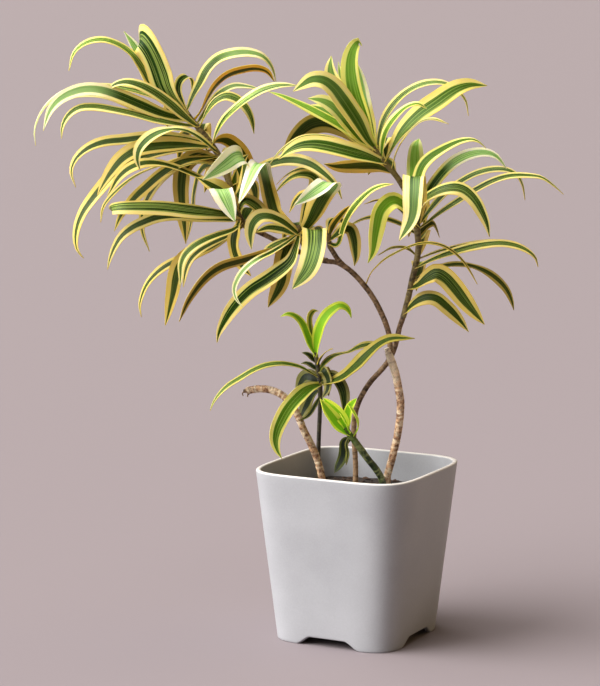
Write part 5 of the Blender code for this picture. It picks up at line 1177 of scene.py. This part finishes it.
MIDDLE_TONES = {
    "all": (0, 0, 0), 0: (0, 0, 0.9), 1: (0.3, 0, 0), 2: (0.4, 0, 0), 3: (0.6, 0, 0), 4: (0.05, 0, 0.15),
    5: (0.1, 0, 0.1), 7: (0.6, 0, -0.35), 8: (0.55, 0, -0.1), 9: (0.5, 0, -0.2), 10: (0.1, 0, 0),
    11: (0, 0, 0.6), 12: (0.2, 0, 0), 15: (0.2, 0, 0.95)}
FORK_TONES = {"all": (0, 0, 0), 0: (0.25, 0.1, 0), 1: (0.7, 0, 0), 2: (0.35, 0, -0.1)}
RIGHT_TONES = {
    "all": (0, 0, 0), 0: (0, 0, 0.18), 1: (0, 0.55, 1.0), 2: (0.05, 0.15, -0.06), 3: (0, 0.05, 0.9),
    4: (0.1, 0, 0.1), 5: (0.1, 0, -0.12), 6: (0.05, 0, -0.08), 7: (0.6, 0, -0.4), 8: (0.8, 0, -0.6),
    9: (0.8, 0, -0.5), 10: (0.1, 0.4, 0), 11: (0.8, 0, -0.6), 12: (0.2, 0, -0.1), 13: (0.1, 0, 0),
    14: (0.6, 0, -0.42), 15: (0.5, 0, -0.26), 16: (0.45, 0, -0.32)}
TOP_TONES = {
    "all": (0, 0, 0), 0: (0, 0.4, 0.15), 1: (0, 0.1, 0.9), 2: (0.1, 0.1, 0.12), 3: (0.3, 0.1, 0.2),
    4: (0, 0.2, 0.6), 5: (0, 0.4, 0.1), 6: (0.1, 0.2, 0.3), 7: (0.2, 0.2, 0.2), 8: (0.25, 0, -0.5),
    9: (0.1, 0, 0), 10: (0.1, 0.05, 0), 11: (0.5, 0, 0), 12: (0, 0.2, 0), 13: (0.1, 0, 0.15),
    14: (0.25, 0.1, -0.08), 15: (0.2, 0, 0.1)}
SHOOT_TONES = {
    "all": (0.1, 0.2, 0), 0: (0, 1.0, 0), 1: (0, 0.75, 0), 2: (0.3, 0.3, -0.2), 3: (0.6, 0.1, -0.2),
    4: (0, 0, -0.9), 5: (0, 0, -0.9), 6: (0.3, 0.1, -0.45), 7: (0.1, 0, -0.9), 8: (0.2, 0, -0.85),
    9: (0, 0.22, 0), 10: (0.2, 0, -0.85), 11: (0.1, 0, -0.75), 12: (0.5, 0.05, -0.6),
    13: (0.7, 0.05, -0.62), 14: (0, 0, -0.7), 15: (0.1, 0, -0.7)}
SPROUT_TONES = {"all": (0, 1.0, 0), 0: (0, 0.9, 0.1), 5: (0, 0, -1.0), 6: (0.3, 0, -0.9)}
BRANCH_TONE = (0.7, 0, -0.3)


# ---- the whole plant -------------------------------------------------------------------

planter()
soil_bed()
crumbs()

piece = cane_piece(planted(FRONT_CANE), CANE_RADIUS["front_cane"], 1.10, 0.0058, 0.00030, 3, 0.66)
dressed("old_front_cane", coated(piece, [old_bark]), "old_cane", "front_cane")
branches = [cane_piece(branch_points(FRONT_BRANCH), CANE_RADIUS["branch"], 0.95, 0.0052, 0.00016, 5)]
for path, seed in ((FORK_UP, 6), (FORK_LEFT, 7), (FORK_BACK, 8)):
    branches.append(cane_piece(branch_points(path), CANE_RADIUS["fork"], 1.0, 0.0045, 0.00016, seed))
dressed("forked_branch", coated(joined(branches), [brown_bark]), "old_cane", "front_cane")
piece = cane_piece(planted(REAR_CANE), CANE_RADIUS["rear_cane"], 1.0, 0.0060, 0.00018, 9)
dressed("rear_cane_wood", coated(piece, [brown_bark]), "brown_cane", "rear_cane")
stub_cane()
piece = cane_piece(planted(SHOOT_STEM), CANE_RADIUS["shoot_stem"], 0.95, 0.0070, 0.00012, 11)
dressed("shoot_cane", coated(piece, [dark_bark]), "young_stem", "shoot_stem")
piece = cane_piece(planted(SPROUT_STEM), CANE_RADIUS["sprout_stem"], 1.0, 0.0060, 0.00025, 12)
dressed("sprout_cane", coated(piece, [green_bark]), "young_stem", "sprout_stem")

crown("left_head", "left_crown", "leaf", FORK_BACK, crown_bark, 0.0036, 0.8, 21,
      (LEFT_STEM, LEFT_LEAVES, LEFT_TONES))
crown("middle_head", "middle_crown", "leaf", FORK_LEFT, crown_bark, 0.0032, 0.9, 23,
      (MIDDLE_STEM, MIDDLE_LEAVES, MIDDLE_TONES))
crown("fork_head", "fork_crown", "leaf", FORK_UP, crown_bark, 0.0026, 0.9, 25,
      (FORK_STEM, FORK_LEAVES, FORK_TONES))
crown("right_head", "right_crown", "leaf", REAR_CANE, crown_bark, 0.0030, 1.1, 27,
      (RIGHT_STEM, RIGHT_LEAVES, RIGHT_TONES), (TOP_STEM, TOP_LEAVES, TOP_TONES))
crown("shoot_head", "shoot_leaves", "young_leaf", SHOOT_STEM, dark_bark, 0.0026, 0.9, 31,
      (SHOOT_TOP_STEM, SHOOT_LEAVES, SHOOT_TONES))
crown("sprout_head", "sprout_leaves", "young_leaf", SPROUT_STEM, green_bark, 0.0034, 0.9, 33,
      (SPROUT_TOP_STEM, SPROUT_LEAVES, SPROUT_TONES))
piece = coated(blade(BRANCH_LEAF, None, BRANCH_TONE, random.Random(35)), [leaf_upper, leaf_under])
dressed("lone_branch_leaf", smoothed(thickened(piece), 60), "leaf", "branch_leaf")


# ---- floor, light and camera -----------------------------------------------------------

bpy.ops.object.select_all(action="DESELECT")
bpy.ops.mesh.primitive_plane_add(size=900.0, location=(POT_PLACE.x, POT_PLACE.y, 0.0))
floor = bpy.context.object
floor.name = "floor"
made, tree, shader = surface("pale_floor")
fill(tree, shader, {"Base Color": linear("#7D7478"), "Roughness": 0.85})
coated(floor, [made])


def daylight(name, azimuth, height, softness, strength, colour):
    """Light from far off, so the whole floor takes it evenly: from an azimuth counted from the
    viewer's side (left is below 0) and a height above the floor, both in degrees."""
    made = bpy.data.lights.new(name, "SUN")
    made.energy = strength
    made.angle = math.radians(softness)
    made.color = linear(colour)[:3]
    placed(name, made).rotation_euler = (math.radians(90 - height), 0.0, PLANT_TURN + math.radians(azimuth))


daylight("window_light", -80, 36, 52, 4.9, "#FFFDFB")
daylight("overhead_light", -84, 60, 84, 3.7, "#FFFBF8")
daylight("front_fill", -62, 18, 70, 1.35, "#FFFAF2")
daylight("warm_return", 106, 14, 60, 0.7, "#FFDCA0")

world = bpy.data.worlds.new("studio")
bpy.context.scene.world = world
world.use_nodes = True
fill(world.node_tree, world.node_tree.nodes["Background"], [linear("#F0CEA0"), 0.13])
bpy.context.scene.view_settings.view_transform = "Standard"

camera_data = bpy.data.cameras.new("camera")
camera_data.lens = LENS
camera_data.sensor_width = SENSOR
camera_data.clip_start = NEAREST_SEEN
camera = placed("camera", camera_data)
camera.location = VIEWER
camera.rotation_euler = (math.radians(90) - LOOK_DOWN, 0.0, PLANT_TURN)
bpy.context.scene.camera = camera
